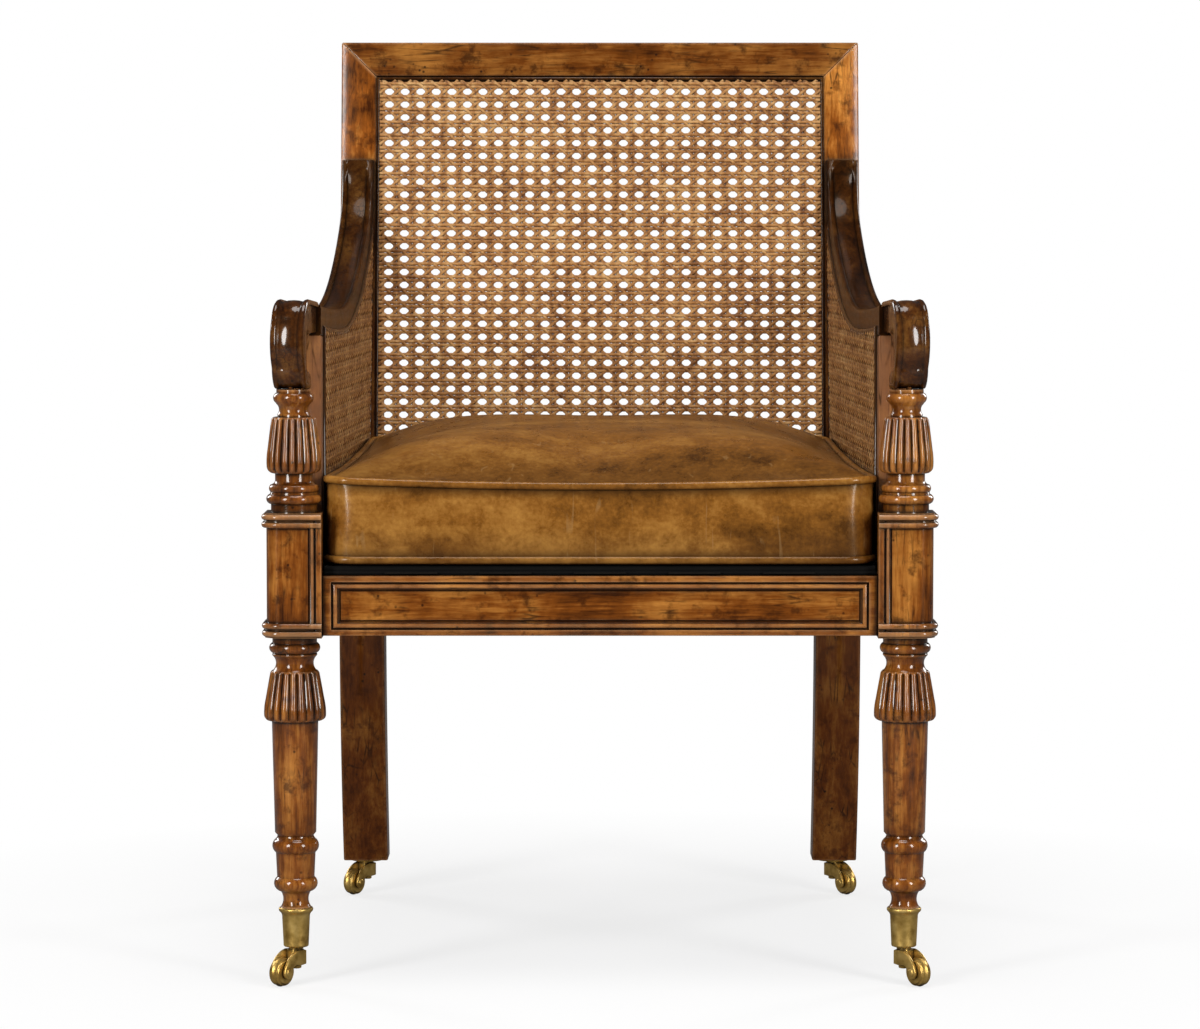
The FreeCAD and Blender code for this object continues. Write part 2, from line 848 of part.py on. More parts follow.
def side_cane():
    edge = number("dowel_gap") * 2 + number("spline_wide")
    clear = number("rebate_wide") + number("cane_border") / 2

    def spot(point):
        return Vector(REBATE_FLOOR - number("cane_thick"), point.x, point.y)

    push = Vector(number("cane_thick"), 0, 0)
    woven = cane_sheet(side_outline(edge), side_outline(clear), spot, push)
    return solid("side_cane_right", woven, SIDE_PLACE)


def back_ring(inset):
    half = f"{REBATE_HALF} - ({inset})"
    return rectangle(f"-({half})", half, f"{REBATE_FOOT} + {inset}", f"{REBATE_TOP} - ({inset})")


def back_cane():
    deep = number("rebate_deep")

    def spot(point):
        return Vector(point.x, deep, point.y)

    outline = back_ring("2 * dowel_gap + spline_wide")
    border = back_ring("rebate_wide + cane_border / 2")
    push = Vector(0, -number("cane_thick"), 0)
    return solid("back_cane", cane_sheet(outline, border, spot, push), BACK_PLACE)


def back_spline():
    body = new_body("back_cane_spline")
    sketch = sketch_in(body, "XZ_Plane", Placement(Vector(0, 0, -number("rebate_deep")), Rotation()))
    draw(sketch, back_ring("dowel_gap"))
    draw(sketch, back_ring("dowel_gap + spline_wide"))
    pad(body, sketch, "rebate_deep + spline_proud")
    body.Placement = BACK_PLACE
    return body


# Arm scrolls, drawn in their own plane: distance back from the post axis, then height

def arm_scroll():
    body = new_body("arm_scroll_profile")
    sketch = sketch_in(body, "YZ_Plane")
    foot = POST_TOP
    top = f"{POST_TOP} + scroll_tall"
    rear_top = f"{POST_TOP} + arm_front_lift"
    arch = f"{rear_top} - arm_deep + 3"
    front = "-scroll_front"
    back = "-tongue_back"
    rear = "side_start + 18"
    draw(sketch, [
        (f"{front} + 13", foot),
        (f"{back} + 9", foot, "9"),
        (f"{back} + 5", f"{foot} + 17"),
        (back, f"{foot} + 21"),
        (back, f"{arch} - 14", "-16"),
        (f"{back} + 16", arch),
        (rear, arch),
        (rear, rear_top),
        (f"{back} + 8", top, "24"),
        (f"{front} + 6", f"{top} - 18", "75"),
        (f"{front} + 6", f"{foot} + 8", "9"),
    ])
    pad(body, sketch, "scroll_wide", symmetric=True)
    turn = Rotation(Vector(0, 0, 1), number("scroll_flare"))
    body.Placement = Placement(at("front_axis_half", 0, 0), turn)
    corner = Vector(-2 * number("scroll_wide"), JOINT_Y, number(POST_TOP) - number("block_side"))
    behind = SIDE_PLACE * Placement(corner, Rotation())
    space = {"Length": "4 * scroll_wide", "Width": "2 * side_start", "Height": "2 * scroll_tall"}
    return cut("arm_scroll_fitted", body, box("arm_joint_space", behind, **space))


# Seat: webbing, deck and the loose cushion

def webbing():
    straps = []
    first = 60
    count = 5
    last = number("rear_post_front") - first
    for index in range(count):
        depth = first + index * (last - first) / (count - 1)
        edge = min(depth - number("strap_wide") / 2, depth + number("strap_wide") / 2)
        half = f"{side_half(edge + number('strap_wide'), SEAT_INNER)} + strap_bearing"
        place = Placement(at(f"-({half})", edge, RAIL_TOP), Rotation())
        straps.append(box(f"cross_strap_{index}", place, Length=f"2 * ({half})", Width="strap_wide",
                          Height="strap_thick"))
    spread = number(REAR_INNER) - number("strap_wide")
    start = "6 - front_rail_front"
    for index in range(count):
        across = -spread + index * 2 * spread / (count - 1)
        left = across - number("strap_wide") / 2
        place = Placement(at(left, start, f"{RAIL_TOP} + strap_thick + strap_gap"), Rotation())
        long = f"rear_post_front + rear_rail_thick - 6 - ({start})"
        straps.append(box(f"long_strap_{index}", place,
                          Length="strap_wide", Width=long, Height="strap_thick"))
    return group("seat_webbing", straps)


def seat_deck():
    body = new_body("seat_deck")
    sketch = sketch_in(body, "XY_Plane", Placement(Vector(0, 0, number(DECK_FOOT)), Rotation()))
    sketch.setExpression("AttachmentOffset.Base.z", full(DECK_FOOT))
    block = "front_axis_half - block_side / 2 - deck_clear"
    step = "side_start + stile_wide"
    edge = "-side_thick / 2 - deck_clear"
    front = "front_axis_y - deck_front"
    rear = "front_axis_y + rear_post_front - deck_clear"
    rear_half = side_half("rear_post_front", edge)
    draw(sketch, [
        (f"-({block})", front),
        (block, front),
        (block, f"front_axis_y + {step}"),
        (rear_half, rear),
        (f"-({rear_half})", rear),
        (f"-({block})", f"front_axis_y + {step}"),
    ])
    pad(body, sketch, "deck_thick")
    return body


# The cushion's outline, floor to crown: inset, share of the side's height, share of the crown.
CUSHION_ROWS = [
    (9, 0, 0), (3, 0.03, 0), (0.5, 0.09, 0), (-1.5, 0.3, 0), (-2, 0.5, 0), (-1.5, 0.7, 0), (0.5, 0.91, 0),
    (3, 0.97, 0), (8, 1, 0), (14, 1, 0.16), (25, 1, 0.36), (45, 1, 0.58), (75, 1, 0.78), (112, 1, 0.93),
    (160, 1, 1),
]


def cushion_section(inset, height, rise):
    # Corners stand out and the sides are drawn in between them, less so up the crown.
    draw_in = 0.4 + number("cushion_draw") * math.exp(-max(inset, 0) / 40)
    corner = number("cushion_corner") + max(inset, 0) * 0.35
    front = number("front_axis_y") - number("cushion_front") + inset
    rear = number("front_axis_y") + number("cushion_rear") - inset
    front_half = number("front_axis_half - block_side / 2 - cushion_block_clear") - inset
    rear_half = number(side_half("cushion_rear", "-side_thick / 2 - cushion_side_clear")) - inset
    spots = [(-front_half, front), (front_half, front), (rear_half, rear), (-rear_half, rear)]
    slope = rise / (rear - front + 2 * inset)
    lift = {front: height + slope * inset, rear: height + rise - slope * inset}
    spots = [Vector(across, depth, lift[depth]) for across, depth in spots]
    edges = []
    for index, spot in enumerate(spots):
        beyond = spots[(index + 1) % 4]
        before = (spots[index - 1] - spot).normalize()
        after = (beyond - spot).normalize()
        end = spot + after * corner
        middle = spot + (before + after) * corner * 0.29
        edges.append(Part.Arc(spot + before * corner, middle, end).toShape())
        stop = beyond - after * corner
        inward = Vector(-after.y, after.x, slope * after.x)
        edges.append(Part.Arc(end, (end + stop) * 0.5 + inward * draw_in, stop).toShape())
    return Part.Wire(edges)


def cushion_shape(shrink):
    low = number(DECK_TOP) + number("cushion_clear") + shrink
    tall = number("cushion_side_tall") - 2 * shrink
    crown = number("cushion_crown")
    sections = []
    for inset, share, lift in CUSHION_ROWS:
        rise = share * number("cushion_rear_rise")
        sections.append(cushion_section(inset + shrink, low + share * tall + lift * crown, rise))
    return Part.makeLoft(sections, True, True)


def cushion():
    thick = number("cover_thick")
    gap = number("core_gap")
    core = solid("seat_cushion_core", cushion_shape(thick + gap))
    room = solid("seat_cushion_room", cushion_shape(thick))
    outer = solid("seat_cushion_outer", cushion_shape(0))
    return core, cut("seat_cushion_cover", outer, room)


# Casters, drawn about their own upright pin with the wheel trailing along X

def caster_place(across, depth, height=0):
    turn = Rotation(Vector(0, 0, 1), -number("caster_turn"))
    return Placement(at(across, depth, height), turn)


def caster_horn(label, place):
    body = new_body(label)
    sketch = sketch_in(body, "XZ_Plane")
    hub = "hub_round"
    draw(sketch, [
        (f"-{hub}", "horn_bottom"),
        (f"{hub} - 0.5", "horn_bottom"),
        (f"caster_trail - boss_round", "wheel_round", "boss_round + 0.1"),
        ("caster_trail + boss_round", "wheel_round", "boss_round + 0.1"),
        ("caster_trail", "wheel_round + boss_round", "-30"),
        (hub, "horn_top"),
        (f"-{hub}", "horn_top"),
    ])
    wide = "wheel_wide + 2 * cheek_clear + 2 * cheek_thick"
    pad(body, sketch, wide, symmetric=True)
    gap = "wheel_wide / 2 + cheek_clear"
    opening = sketch_in(body, "XY_Plane")
    draw(opening, rectangle(f"{hub} - 0.3", "caster_trail + 2 * boss_round", f"-({gap})", gap))
    pocket(body, opening)
    for side in (1, -1):
        shoulder = sketch_in(body, "XY_Plane")
        edges = sorted((f"{side} * {hub}", f"{side} * ({gap} + cheek_thick + 1)"), key=number)
        draw(shoulder, rectangle(f"-{hub} - 1", "-1", *edges))
        pocket(body, shoulder)
    bore = sketch_in(body, "XY_Plane")
    circle(bore, 0, 0, "pin_round + run_gap")
    pocket(body, bore)
    axle = sketch_in(body, "XZ_Plane")
    circle(axle, "caster_trail", "wheel_round", "axle_round + run_gap")
    pocket(body, axle)
    body.Placement = place
    return body


def caster_axle(label, place):
    half = "wheel_wide / 2 + cheek_clear + cheek_thick + run_gap"
    end = f"{half} + axle_head_tall"
    return turned(label, [
        (0, f"-({end})"),
        ("axle_head_round", f"-({end})"),
        ("axle_head_round", f"-({half})"),
        ("axle_round", f"-({half})"),
        ("axle_round", half),
        ("axle_head_round", half),
        ("axle_head_round", end),
        (0, end),
    ], place, "XY_Plane")


def caster_wheel(label, place):
    half = "wheel_wide / 2"
    crown_sag = "(wheel_crown - sqrt(wheel_crown ^ 2 - wheel_wide ^ 2 / 4))"
    return turned(label, [
        ("axle_round + run_gap", f"-{half}"),
        (f"wheel_round - {crown_sag}", f"-{half}", "wheel_crown"),
        (f"wheel_round - {crown_sag}", half),
        ("axle_round + run_gap", half),
    ], place, "XY_Plane")


def caster_pin(label, place, top):
    nub_top = "horn_bottom - run_gap"
    return turned(label, [
        (0, f"{nub_top} - pin_nub_tall"),
        ("pin_nub_round - 1", f"{nub_top} - pin_nub_tall"),
        ("pin_nub_round", f"{nub_top} - pin_nub_tall + 1"),
        ("pin_nub_round", nub_top),
        ("pin_round", nub_top),
        ("pin_round", top),
        (0, top),
    ], place)


def front_cup(label, place):
    rim = turned_text("spigot_top")
    floor = "spigot_base - cup_gap"
    base = "horn_top + run_gap"
    return turned(label, [
        ("pin_round + run_gap", base),
        ("washer_round", base),
        ("washer_round", f"{floor} - cup_floor"),
        ("spigot_foot_radius + cup_gap", f"{floor} - cup_floor"),
        ("spigot_foot_radius + cup_gap + cup_wall", floor),
        ("spigot_top_radius + cup_gap + cup_wall", f"{rim} - cup_rim_tall", "8"),
        ("cup_rim_round", f"{rim} - cup_rim_tall / 2", "8"),
        ("cup_rim_round - 1", f"{rim} - cup_gap"),
        ("spigot_top_radius + cup_gap", f"{rim} - cup_gap"),
        ("spigot_foot_radius + cup_gap", floor),
        ("pin_round + run_gap", floor),
    ], place)


def rear_plate(label, place):
    base = "horn_top + run_gap"
    return turned(label, [
        ("pin_round + run_gap", base),
        ("washer_round", base),
        ("washer_round", "rear_leg_bottom - washer_tall - cup_gap"),
        ("plate_round", "rear_leg_bottom - washer_tall - cup_gap"),
        ("plate_round", "rear_leg_bottom - cup_gap"),
        ("pin_round + run_gap", "rear_leg_bottom - cup_gap"),
    ], place)


PIN_TOPS = {"front": "spigot_base + 24", "rear": "rear_leg_bottom + 24"}
REAR_AXIS = {
    "across": "back_half - rear_post_wide / 2",
    "depth": "rear_post_front + rear_leg_splay + rear_foot_deep / 2",
}


def caster(end, across, depth):
    foot = caster_place(across, depth)
    wheel_spot = foot * Placement(Vector(number("caster_trail"), 0, number("wheel_round")), Rotation())
    pieces = {
        "caster_horn": caster_horn(f"{end}_caster_horn_right", foot),
        "caster_axle": caster_axle(f"{end}_caster_axle_right", wheel_spot),
        "caster_wheel": caster_wheel(f"{end}_caster_wheel_right", wheel_spot),
        "caster_pin": caster_pin(f"{end}_caster_pin_right", foot, PIN_TOPS[end]),
    }
    if end == "front":
        pieces["caster_cup"] = front_cup("front_caster_cup_right", foot)
    else:
        pieces["caster_plate"] = rear_plate("rear_caster_plate_right_blank", foot)
    return pieces


# Joinery: every dowel and screw, with the holes that take them

holes = []
pegs = {"seat_dowels": [], "arm_dowels": [], "back_dowels": []}
screws = {"corner_block_screws": [], "rear_caster_screws": []}


def flipped(vector, side):
    return Vector(vector.x * side, vector.y, vector.z)


def dowel(family, middle, direction, long, round_name="dowel_round"):
    for side in SIDES.values():
        way = flipped(direction, side).normalize()
        spot = flipped(middle, side)
        count = len(pegs[family])
        start = spot - way * (number(long) / 2)
        pegs[family].append(cylinder(f"{family}_{count}", round_name, long, start, way))
        start = start - way * number("dowel_end_gap")
        long_hole = f"{long} + 2 * dowel_end_gap"
        holes.append(cylinder(f"{family}_hole_{count}", f"{round_name} + dowel_gap", long_hole, start, way))


def screw(family, seat, direction, long, clear):
    for side in SIDES.values():
        way = flipped(direction, side).normalize()
        start = flipped(seat, side)
        count = len(screws[family])
        name = f"{family}_{count}"
        head = cylinder(f"{name}_head", "screw_head_round", "screw_head_tall", start, way)
        shank = cylinder(f"{name}_shank", "screw_round", long, start, way)
        screws[family].append(fuse(name, [head, shank]))
        gap = "screw_gap"
        deep = f"{long} + dowel_end_gap"
        holes.append(cylinder(f"{name}_drill", f"screw_round + {gap}", deep, start, way))
        back = start - way * clear
        sink = f"screw_head_tall + {clear} + {gap}"
        holes.append(cylinder(f"{name}_sink", f"screw_head_round + {gap}", sink, back, way))


def add_dowels():
    along_x = Vector(1, 0, 0)
    along_y = Vector(0, 1, 0)
    along_side = SIDE_PLACE.Rotation.multVec(along_y)
    rail_foot = number(RAIL_FOOT)
    tall = number("seat_rail_tall")
    inner_block = "front_axis_half - block_side / 2"
    middle_front = "front_rail_thick / 2 - front_rail_front"
    inset = number("dowel_inset")
    for height in (rail_foot + inset, rail_foot + tall - inset):
        dowel("seat_dowels", at(inner_block, middle_front, height), along_x, "40")
        dowel("seat_dowels", at(REAR_INNER, "rear_post_front + rear_rail_thick / 2", height), along_x, "40")
    for height in (rail_foot + tall / 2 - 7, rail_foot + tall / 2 + 7):
        dowel("seat_dowels", at(side_half("block_side / 2", "-1"), "block_side / 2", height), along_y, "40")
        spot = at(side_half("rear_post_front", "-4"), "rear_post_front", height)
        dowel("seat_dowels", spot, along_y, "40")
    stile = Vector(0, number("stile_wide") / 2, number(RAIL_TOP))
    dowel("arm_dowels", SIDE_PLACE.multVec(stile), Vector(0, 0, 1), "26")
    lower = Vector(0, number("stile_wide"), number(RAIL_TOP) + number("side_lower_tall") / 2)
    dowel("arm_dowels", SIDE_PLACE.multVec(lower), along_side, "36")
    front_top = front_arc_height(number("stile_wide") / 2, number("arm_deep"))
    stile_top = Vector(0, number("stile_wide") / 2, front_top)
    dowel("arm_dowels", SIDE_PLACE.multVec(stile_top), Vector(0, 0, 1), "30", "scroll_dowel_round")
    joint = Vector(0, JOINT_Y, number(POST_TOP) + number("arm_front_lift") - 15)
    dowel("arm_dowels", SIDE_PLACE.multVec(joint), along_side, "36", "scroll_dowel_round")
    scroll_turn = Rotation(Vector(0, 0, 1), number("scroll_flare"))
    seat = at("front_axis_half", 0, POST_TOP) + scroll_turn.multVec(Vector(0, -9, 0))
    dowel("arm_dowels", seat, Vector(0, 0, 1), "36", "scroll_dowel_round")
    face_way = BACK_PLACE.Rotation.multVec(along_y)
    heel = turn_meets_face(0, number("arm_deep"))[1]
    for height in (heel + number("dowel_inset"), heel + 3 * number("dowel_inset")):
        spot = SIDE_PLACE.multVec(Vector(0, post_face(height), height))
        dowel("arm_dowels", spot, face_way, "30")
    thick = number("back_rail_thick") / 2 + 1
    for height in (inset, number("lower_back_rail_tall - rebate_deep") - inset):
        spot = BACK_PLACE.multVec(Vector(number(REAR_INNER), thick, height))
        dowel("back_dowels", spot, along_x, "40")
    mitre_up = number(f"{BACK_TALL} - top_rail_tall / 2")
    mitre = Vector(number("back_half - rear_post_wide / 2"), thick, mitre_up)
    across = BACK_PLACE.Rotation.multVec(Vector(1, 0, -1))
    dowel("back_dowels", BACK_PLACE.multVec(mitre), across, "36")


def corner_blocks():
    # Each block fills a corner of the seat frame: a right corner and two equal legs.
    blocks = []
    leg = number("corner_leg")
    gap = number("corner_gap")
    foot = number(RAIL_FOOT) + (number("seat_rail_tall") - number("corner_tall")) / 2
    front = number("front_rail_thick") - number("front_rail_front")
    rear = number("rear_post_front")
    for end, depth, way in (("front", front, 1), ("rear", rear, -1)):
        start = depth + way * gap
        near = number(side_half(max(start, number("block_side") / 2), SEAT_INNER)) - gap
        far = number(side_half(start + way * leg, SEAT_INNER)) - gap
        inner = near - leg
        corner = [at(near, start, foot), at(inner, start, foot), at(far, start + way * leg, foot)]
        face = Part.Face(Part.makePolygon([*corner, corner[0]]))
        for name, side in SIDES.items():
            shape = face.extrude(Vector(0, 0, number("corner_tall")))
            blocks.append(solid(f"corner_{end}_{name}", shape))
            if side < 0:
                blocks[-1].Shape = shape.mirror(Vector(), Vector(1, 0, 0))
        grip = number("screw_grip")
        sunk = 16
        long = f"{leg / 2 - sunk + grip}"
        clear = leg
        heights = (foot + number("corner_tall") * 0.3, foot + number("corner_tall") * 0.7)
        spot = at(near - leg / 2, start + way * (leg / 2 - sunk), heights[0])
        screw("corner_block_screws", spot, Vector(0, -way, 0), long, clear)
        half = number(side_half(start + way * leg / 2, SEAT_INNER))
        spot = at(half - leg / 2 + sunk, start + way * leg / 2, heights[1])
        screw("corner_block_screws", spot, Vector(1, 0, 0), long, clear)
    return group("corner_blocks_blank", blocks)


def add_plate_screws():
    for turn in (30, 150, 270):
        angle = math.radians(turn)
        ring = number("plate_screw_ring")
        spot = at(REAR_AXIS["across"], REAR_AXIS["depth"], "rear_leg_bottom - washer_tall - cup_gap - 1")
        spot = spot + Vector(ring * math.cos(angle), ring * math.sin(angle), 0)
        screw("rear_caster_screws", spot, Vector(0, 0, 1), "plate_screw_long", 1)


def add_pin_holes():
    spots = {"front": at("front_axis_half", 0, 0), "rear": at(REAR_AXIS["across"], REAR_AXIS["depth"], 0)}
    for end, spot in spots.items():
        for name, side in SIDES.items():
            foot = "spigot_base - 1" if end == "front" else "rear_leg_bottom - 1"
            start = flipped(spot, side) + Vector(0, 0, number(foot))
            long = f"{PIN_TOPS[end]} - ({foot}) + dowel_end_gap"
            label = f"{end}_pin_hole_{name}"
            holes.append(cylinder(label, "pin_round + run_gap", long, start, Vector(0, 0, 1)))


# Assembly

def build():
    post = rear_post()
    rebate = side_rebate()
    pairs = {
        "front_post": front_post(),
        "rear_post": post,
        "side_seat_rail": side_seat_rail(),
        "side_lower_rail": cut("side_lower_rail_blank", side_lower_rail(post), rebate),
        "side_front_stile": cut("side_front_stile_blank", front_stile(), rebate),
        "side_rear_stile": cut("side_rear_stile_blank", rear_stile(post), rebate),
        "arm_rail": cut("arm_rail_blank", arm_rail(post), rebate),
        "arm_scroll": arm_scroll(),
    }
    singles = {
        "front_seat_rail": front_seat_rail(),
        "rear_seat_rail": rear_seat_rail(),
        "top_rail": top_rail(),
        "lower_back_rail": lower_back_rail(),
        "corner_blocks": corner_blocks(),
    }
    front = caster("front", "front_axis_half", 0)
    rear = caster("rear", REAR_AXIS["across"], REAR_AXIS["depth"])
    pairs["rear_caster_plate"] = rear.pop("caster_plate")
    add_dowels()
    add_plate_screws()
    add_pin_holes()
    joinery = group("joinery_holes", holes)
    for name, blank in pairs.items():
        nodes[f"{name}_right"] = cut(f"{name}_right", blank, joinery)
        nodes[f"{name}_left"] = cut(f"{name}_left", mirrored(f"{name}_left_blank", blank), joinery)
    for name, blank in singles.items():
        nodes[name] = cut(name, blank, joinery)
    for end, pieces in (("front", front), ("rear", rear)):
        for name, piece in pieces.items():
            nodes[f"{end}_{name}_right"] = piece
            nodes[f"{end}_{name}_left"] = mirrored(f"{end}_{name}_left", piece)
    for name, piece in (("side_cane", side_cane()), ("side_cane_spline", side_spline())):
        nodes[f"{name}_right"] = piece
        nodes[f"{name}_left"] = mirrored(f"{name}_left", piece)
    nodes["back_cane"] = back_cane()
    nodes["back_cane_spline"] = back_spline()
    nodes["seat_webbing"] = webbing()
    nodes["seat_deck"] = seat_deck()
    nodes["seat_cushion_core"], nodes["seat_cushion_cover"] = cushion()
    for family, items in (*pegs.items(), *screws.items()):
        nodes[family] = group(family, items)


def export():
    doc.recompute()
    for item in doc.Objects:
        faults = [state for state in item.State if state in ("Invalid", "Error")]
        if faults:
            raise RuntimeError(f"{item.Label}: {faults}")
    os.makedirs("parts", exist_ok=True)
    for label, item in nodes.items():
        if item.Shape.isNull() or not item.Shape.isValid():
            raise RuntimeError(f"{label}: bad shape")
        if item.Label != label:
            raise RuntimeError(f"{label}: labelled {item.Label}")
        item.Shape.exportStep(f"parts/{label}.step")
    print(len(nodes), "nodes")


build()
export()
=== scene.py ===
import json
import math

import bmesh
import bpy
from mathutils import Matrix, Vector, noise


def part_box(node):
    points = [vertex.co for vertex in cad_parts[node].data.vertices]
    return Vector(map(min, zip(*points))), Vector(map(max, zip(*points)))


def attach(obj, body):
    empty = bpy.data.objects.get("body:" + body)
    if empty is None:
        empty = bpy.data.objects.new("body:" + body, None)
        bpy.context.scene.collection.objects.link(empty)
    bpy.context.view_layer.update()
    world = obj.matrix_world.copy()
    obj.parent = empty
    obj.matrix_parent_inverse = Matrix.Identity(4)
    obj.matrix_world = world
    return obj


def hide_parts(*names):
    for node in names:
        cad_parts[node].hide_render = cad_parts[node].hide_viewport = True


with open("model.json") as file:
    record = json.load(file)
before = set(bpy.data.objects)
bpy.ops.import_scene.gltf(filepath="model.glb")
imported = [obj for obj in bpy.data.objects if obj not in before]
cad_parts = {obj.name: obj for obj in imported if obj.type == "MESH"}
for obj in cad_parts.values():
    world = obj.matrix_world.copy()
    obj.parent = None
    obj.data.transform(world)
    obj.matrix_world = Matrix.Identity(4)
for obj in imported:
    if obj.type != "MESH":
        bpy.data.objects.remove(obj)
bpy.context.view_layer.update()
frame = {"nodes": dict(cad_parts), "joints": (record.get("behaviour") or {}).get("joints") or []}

# Caned bergere armchair: metres, X to the right, -Y to the front, Z up.
pins = {joint["name"]: Vector(joint["pos_m"]) for joint in frame["joints"] if "pos_m" in joint}
postSpot = pins["front_right_swivel"]  # axis of the right front post
print("frame loaded:", len(frame["nodes"]), "nodes")


# Working helpers

weldGap = 0.00001


def clearSelection():
    if bpy.context.mode != "OBJECT":
        bpy.ops.object.mode_set(mode="OBJECT")
    bpy.ops.object.select_all(action="DESELECT")


def makeActive(piece):
    clearSelection()
    piece.select_set(True)
    bpy.context.view_layer.objects.active = piece


def openEdit(piece):
    makeActive(piece)
    bpy.ops.object.mode_set(mode="EDIT")
    bpy.ops.mesh.select_mode(type="VERT")
    bpy.ops.mesh.select_all(action="DESELECT")


def openAll(piece):
    openEdit(piece)
    bpy.ops.mesh.select_all(action="SELECT")


def closeEdit():
    bpy.ops.object.mode_set(mode="OBJECT")


def pick(piece, kind, test):
    bpy.ops.mesh.select_mode(type=kind)
    bpy.ops.mesh.select_all(action="DESELECT")
    shape = bmesh.from_edit_mesh(piece.data)
    shape.normal_update()
    parts = {"VERT": shape.verts, "EDGE": shape.edges, "FACE": shape.faces}[kind]
    for part in parts:
        part.select_set(bool(test(part)))
    shape.select_flush_mode()
    bmesh.update_edit_mesh(piece.data)


def tidyMesh(piece):
    openAll(piece)
    bpy.ops.mesh.remove_doubles(threshold=weldGap)
    bpy.ops.mesh.normals_make_consistent(inside=False)
    closeEdit()


def smooth(piece, angle):
    makeActive(piece)
    bpy.ops.object.shade_smooth_by_angle(angle=math.radians(angle))


def addObject(name, data):
    piece = bpy.data.objects.new(name, data)
    bpy.context.scene.collection.objects.link(piece)
    return piece


def addBox(name, low, high):
    low, high = Vector(low), Vector(high)
    clearSelection()
    bpy.ops.mesh.primitive_cube_add(size=1, location=(low + high) / 2, scale=high - low)
    piece = bpy.context.object
    piece.name = name
    bpy.ops.object.transform_apply(location=True, rotation=True, scale=True)
    return piece


def drawLine(name, points, closed=False):
    # A single point is drawn out along the line, one corner at a time.
    clearSelection()
    bpy.ops.mesh.primitive_plane_add(size=0.01, location=points[0])
    piece = bpy.context.object
    piece.name = name
    bpy.ops.object.transform_apply(location=True, rotation=True, scale=True)
    bpy.ops.object.mode_set(mode="EDIT")
    bpy.ops.mesh.select_mode(type="VERT")
    bpy.ops.mesh.select_all(action="SELECT")
    bpy.ops.mesh.merge(type="CENTER")
    for start, end in zip(points, points[1:]):
        step = Vector(end) - Vector(start)
        bpy.ops.mesh.extrude_vertices_move(TRANSFORM_OT_translate={"value": step})
    bpy.ops.mesh.select_all(action="SELECT")
    if closed:
        bpy.ops.mesh.edge_face_add()
    closeEdit()
    return piece


def pushOut(piece, step, times=1):
    # Draws the piece's face out into a solid.
    openAll(piece)
    for _ in range(times):
        bpy.ops.mesh.extrude_region_move(TRANSFORM_OT_translate={"value": Vector(step) / times})
    bpy.ops.mesh.select_all(action="SELECT")
    bpy.ops.mesh.normals_make_consistent(inside=False)
    closeEdit()


def easeEdges(piece, width, segments, test=None, sharp=25):
    openEdit(piece)
    limit = math.radians(sharp)

    def wanted(edge):
        if len(edge.link_faces) != 2 or edge.calc_face_angle(0) < limit:
            return False
        return test is None or test(edge)

    pick(piece, "EDGE", wanted)
    bpy.ops.mesh.bevel(offset=width, segments=segments, affect="EDGES", clamp_overlap=True)
    closeEdit()


def turnPiece(name, line, steps, spot):
    # The line is (radius, height) from foot to top, turned about the upright axis at spot.
    points = [(spot[0] + radius, spot[1], height) for radius, height in line]
    piece = drawLine(name, points)
    openAll(piece)
    bpy.ops.mesh.spin(steps=steps, angle=2 * math.pi, center=(spot[0], spot[1], 0), axis=(0, 0, 1))
    closeEdit()
    tidyMesh(piece)
    return piece


def joinPieces(name, pieces):
    makeActive(pieces[0])
    for piece in pieces[1:]:
        piece.select_set(True)
    bpy.ops.object.join()
    pieces[0].name = name
    return pieces[0]


def mirrorPiece(piece, name):
    makeActive(piece)
    bpy.ops.object.duplicate()
    copy = bpy.context.object
    copy.name = name
    copy.scale.x = -1
    bpy.ops.object.transform_apply(location=False, rotation=False, scale=True)
    openAll(copy)
    bpy.ops.mesh.normals_make_consistent(inside=False)
    closeEdit()
    return copy


def copyNode(node, name):
    piece = addObject(name, frame["nodes"][node].data.copy())
    piece.data.materials.clear()
    openAll(piece)
    bpy.ops.mesh.remove_doubles(threshold=weldGap)
    bpy.ops.mesh.dissolve_limited(angle_limit=math.radians(1))
    closeEdit()
    return piece


def drawRun(curve, run, closed=False):
    spline = curve.splines.new("POLY")
    spline.points.add(len(run) - 1)
    for point, spot in zip(spline.points, run):
        point.co = (*spot, 1)
    spline.use_cyclic_u = closed


def curveMesh(name, curve):
    makeActive(addObject(name, curve))
    bpy.ops.object.convert(target="MESH")
    return bpy.context.object


def tube(name, runs, radius, closed=False, sides=3):
    # Round beads along one or more runs of points.
    curve = bpy.data.curves.new(name, "CURVE")
    curve.dimensions = "3D"
    curve.bevel_depth = radius
    curve.bevel_resolution = sides
    curve.use_fill_caps = True
    for run in runs:
        drawRun(curve, run, closed)
    piece = curveMesh(name, curve)
    smooth(piece, 60)
    return piece


def arcBetween(start, end, radius, count):
    # Points from start up to, but not with, end; a positive radius swells to the right.
    start, end = Vector(start), Vector(end)
    if not radius:
        return [start]
    chord = end - start
    half = chord.length / 2
    reach = max(abs(radius), half)
    side = math.copysign(1, radius)
    right = Vector((chord.y, -chord.x)) / chord.length * side
    centre = (start + end) / 2 - right * math.sqrt(reach ** 2 - half ** 2)
    sweep = 2 * math.asin(half / reach) * side
    spoke = start - centre
    points = []
    for index in range(count):
        turn = sweep * index / count
        cosine, sine = math.cos(turn), math.sin(turn)
        points.append(centre + Vector((spoke.x * cosine - spoke.y * sine, spoke.x * sine + spoke.y * cosine)))
    return points


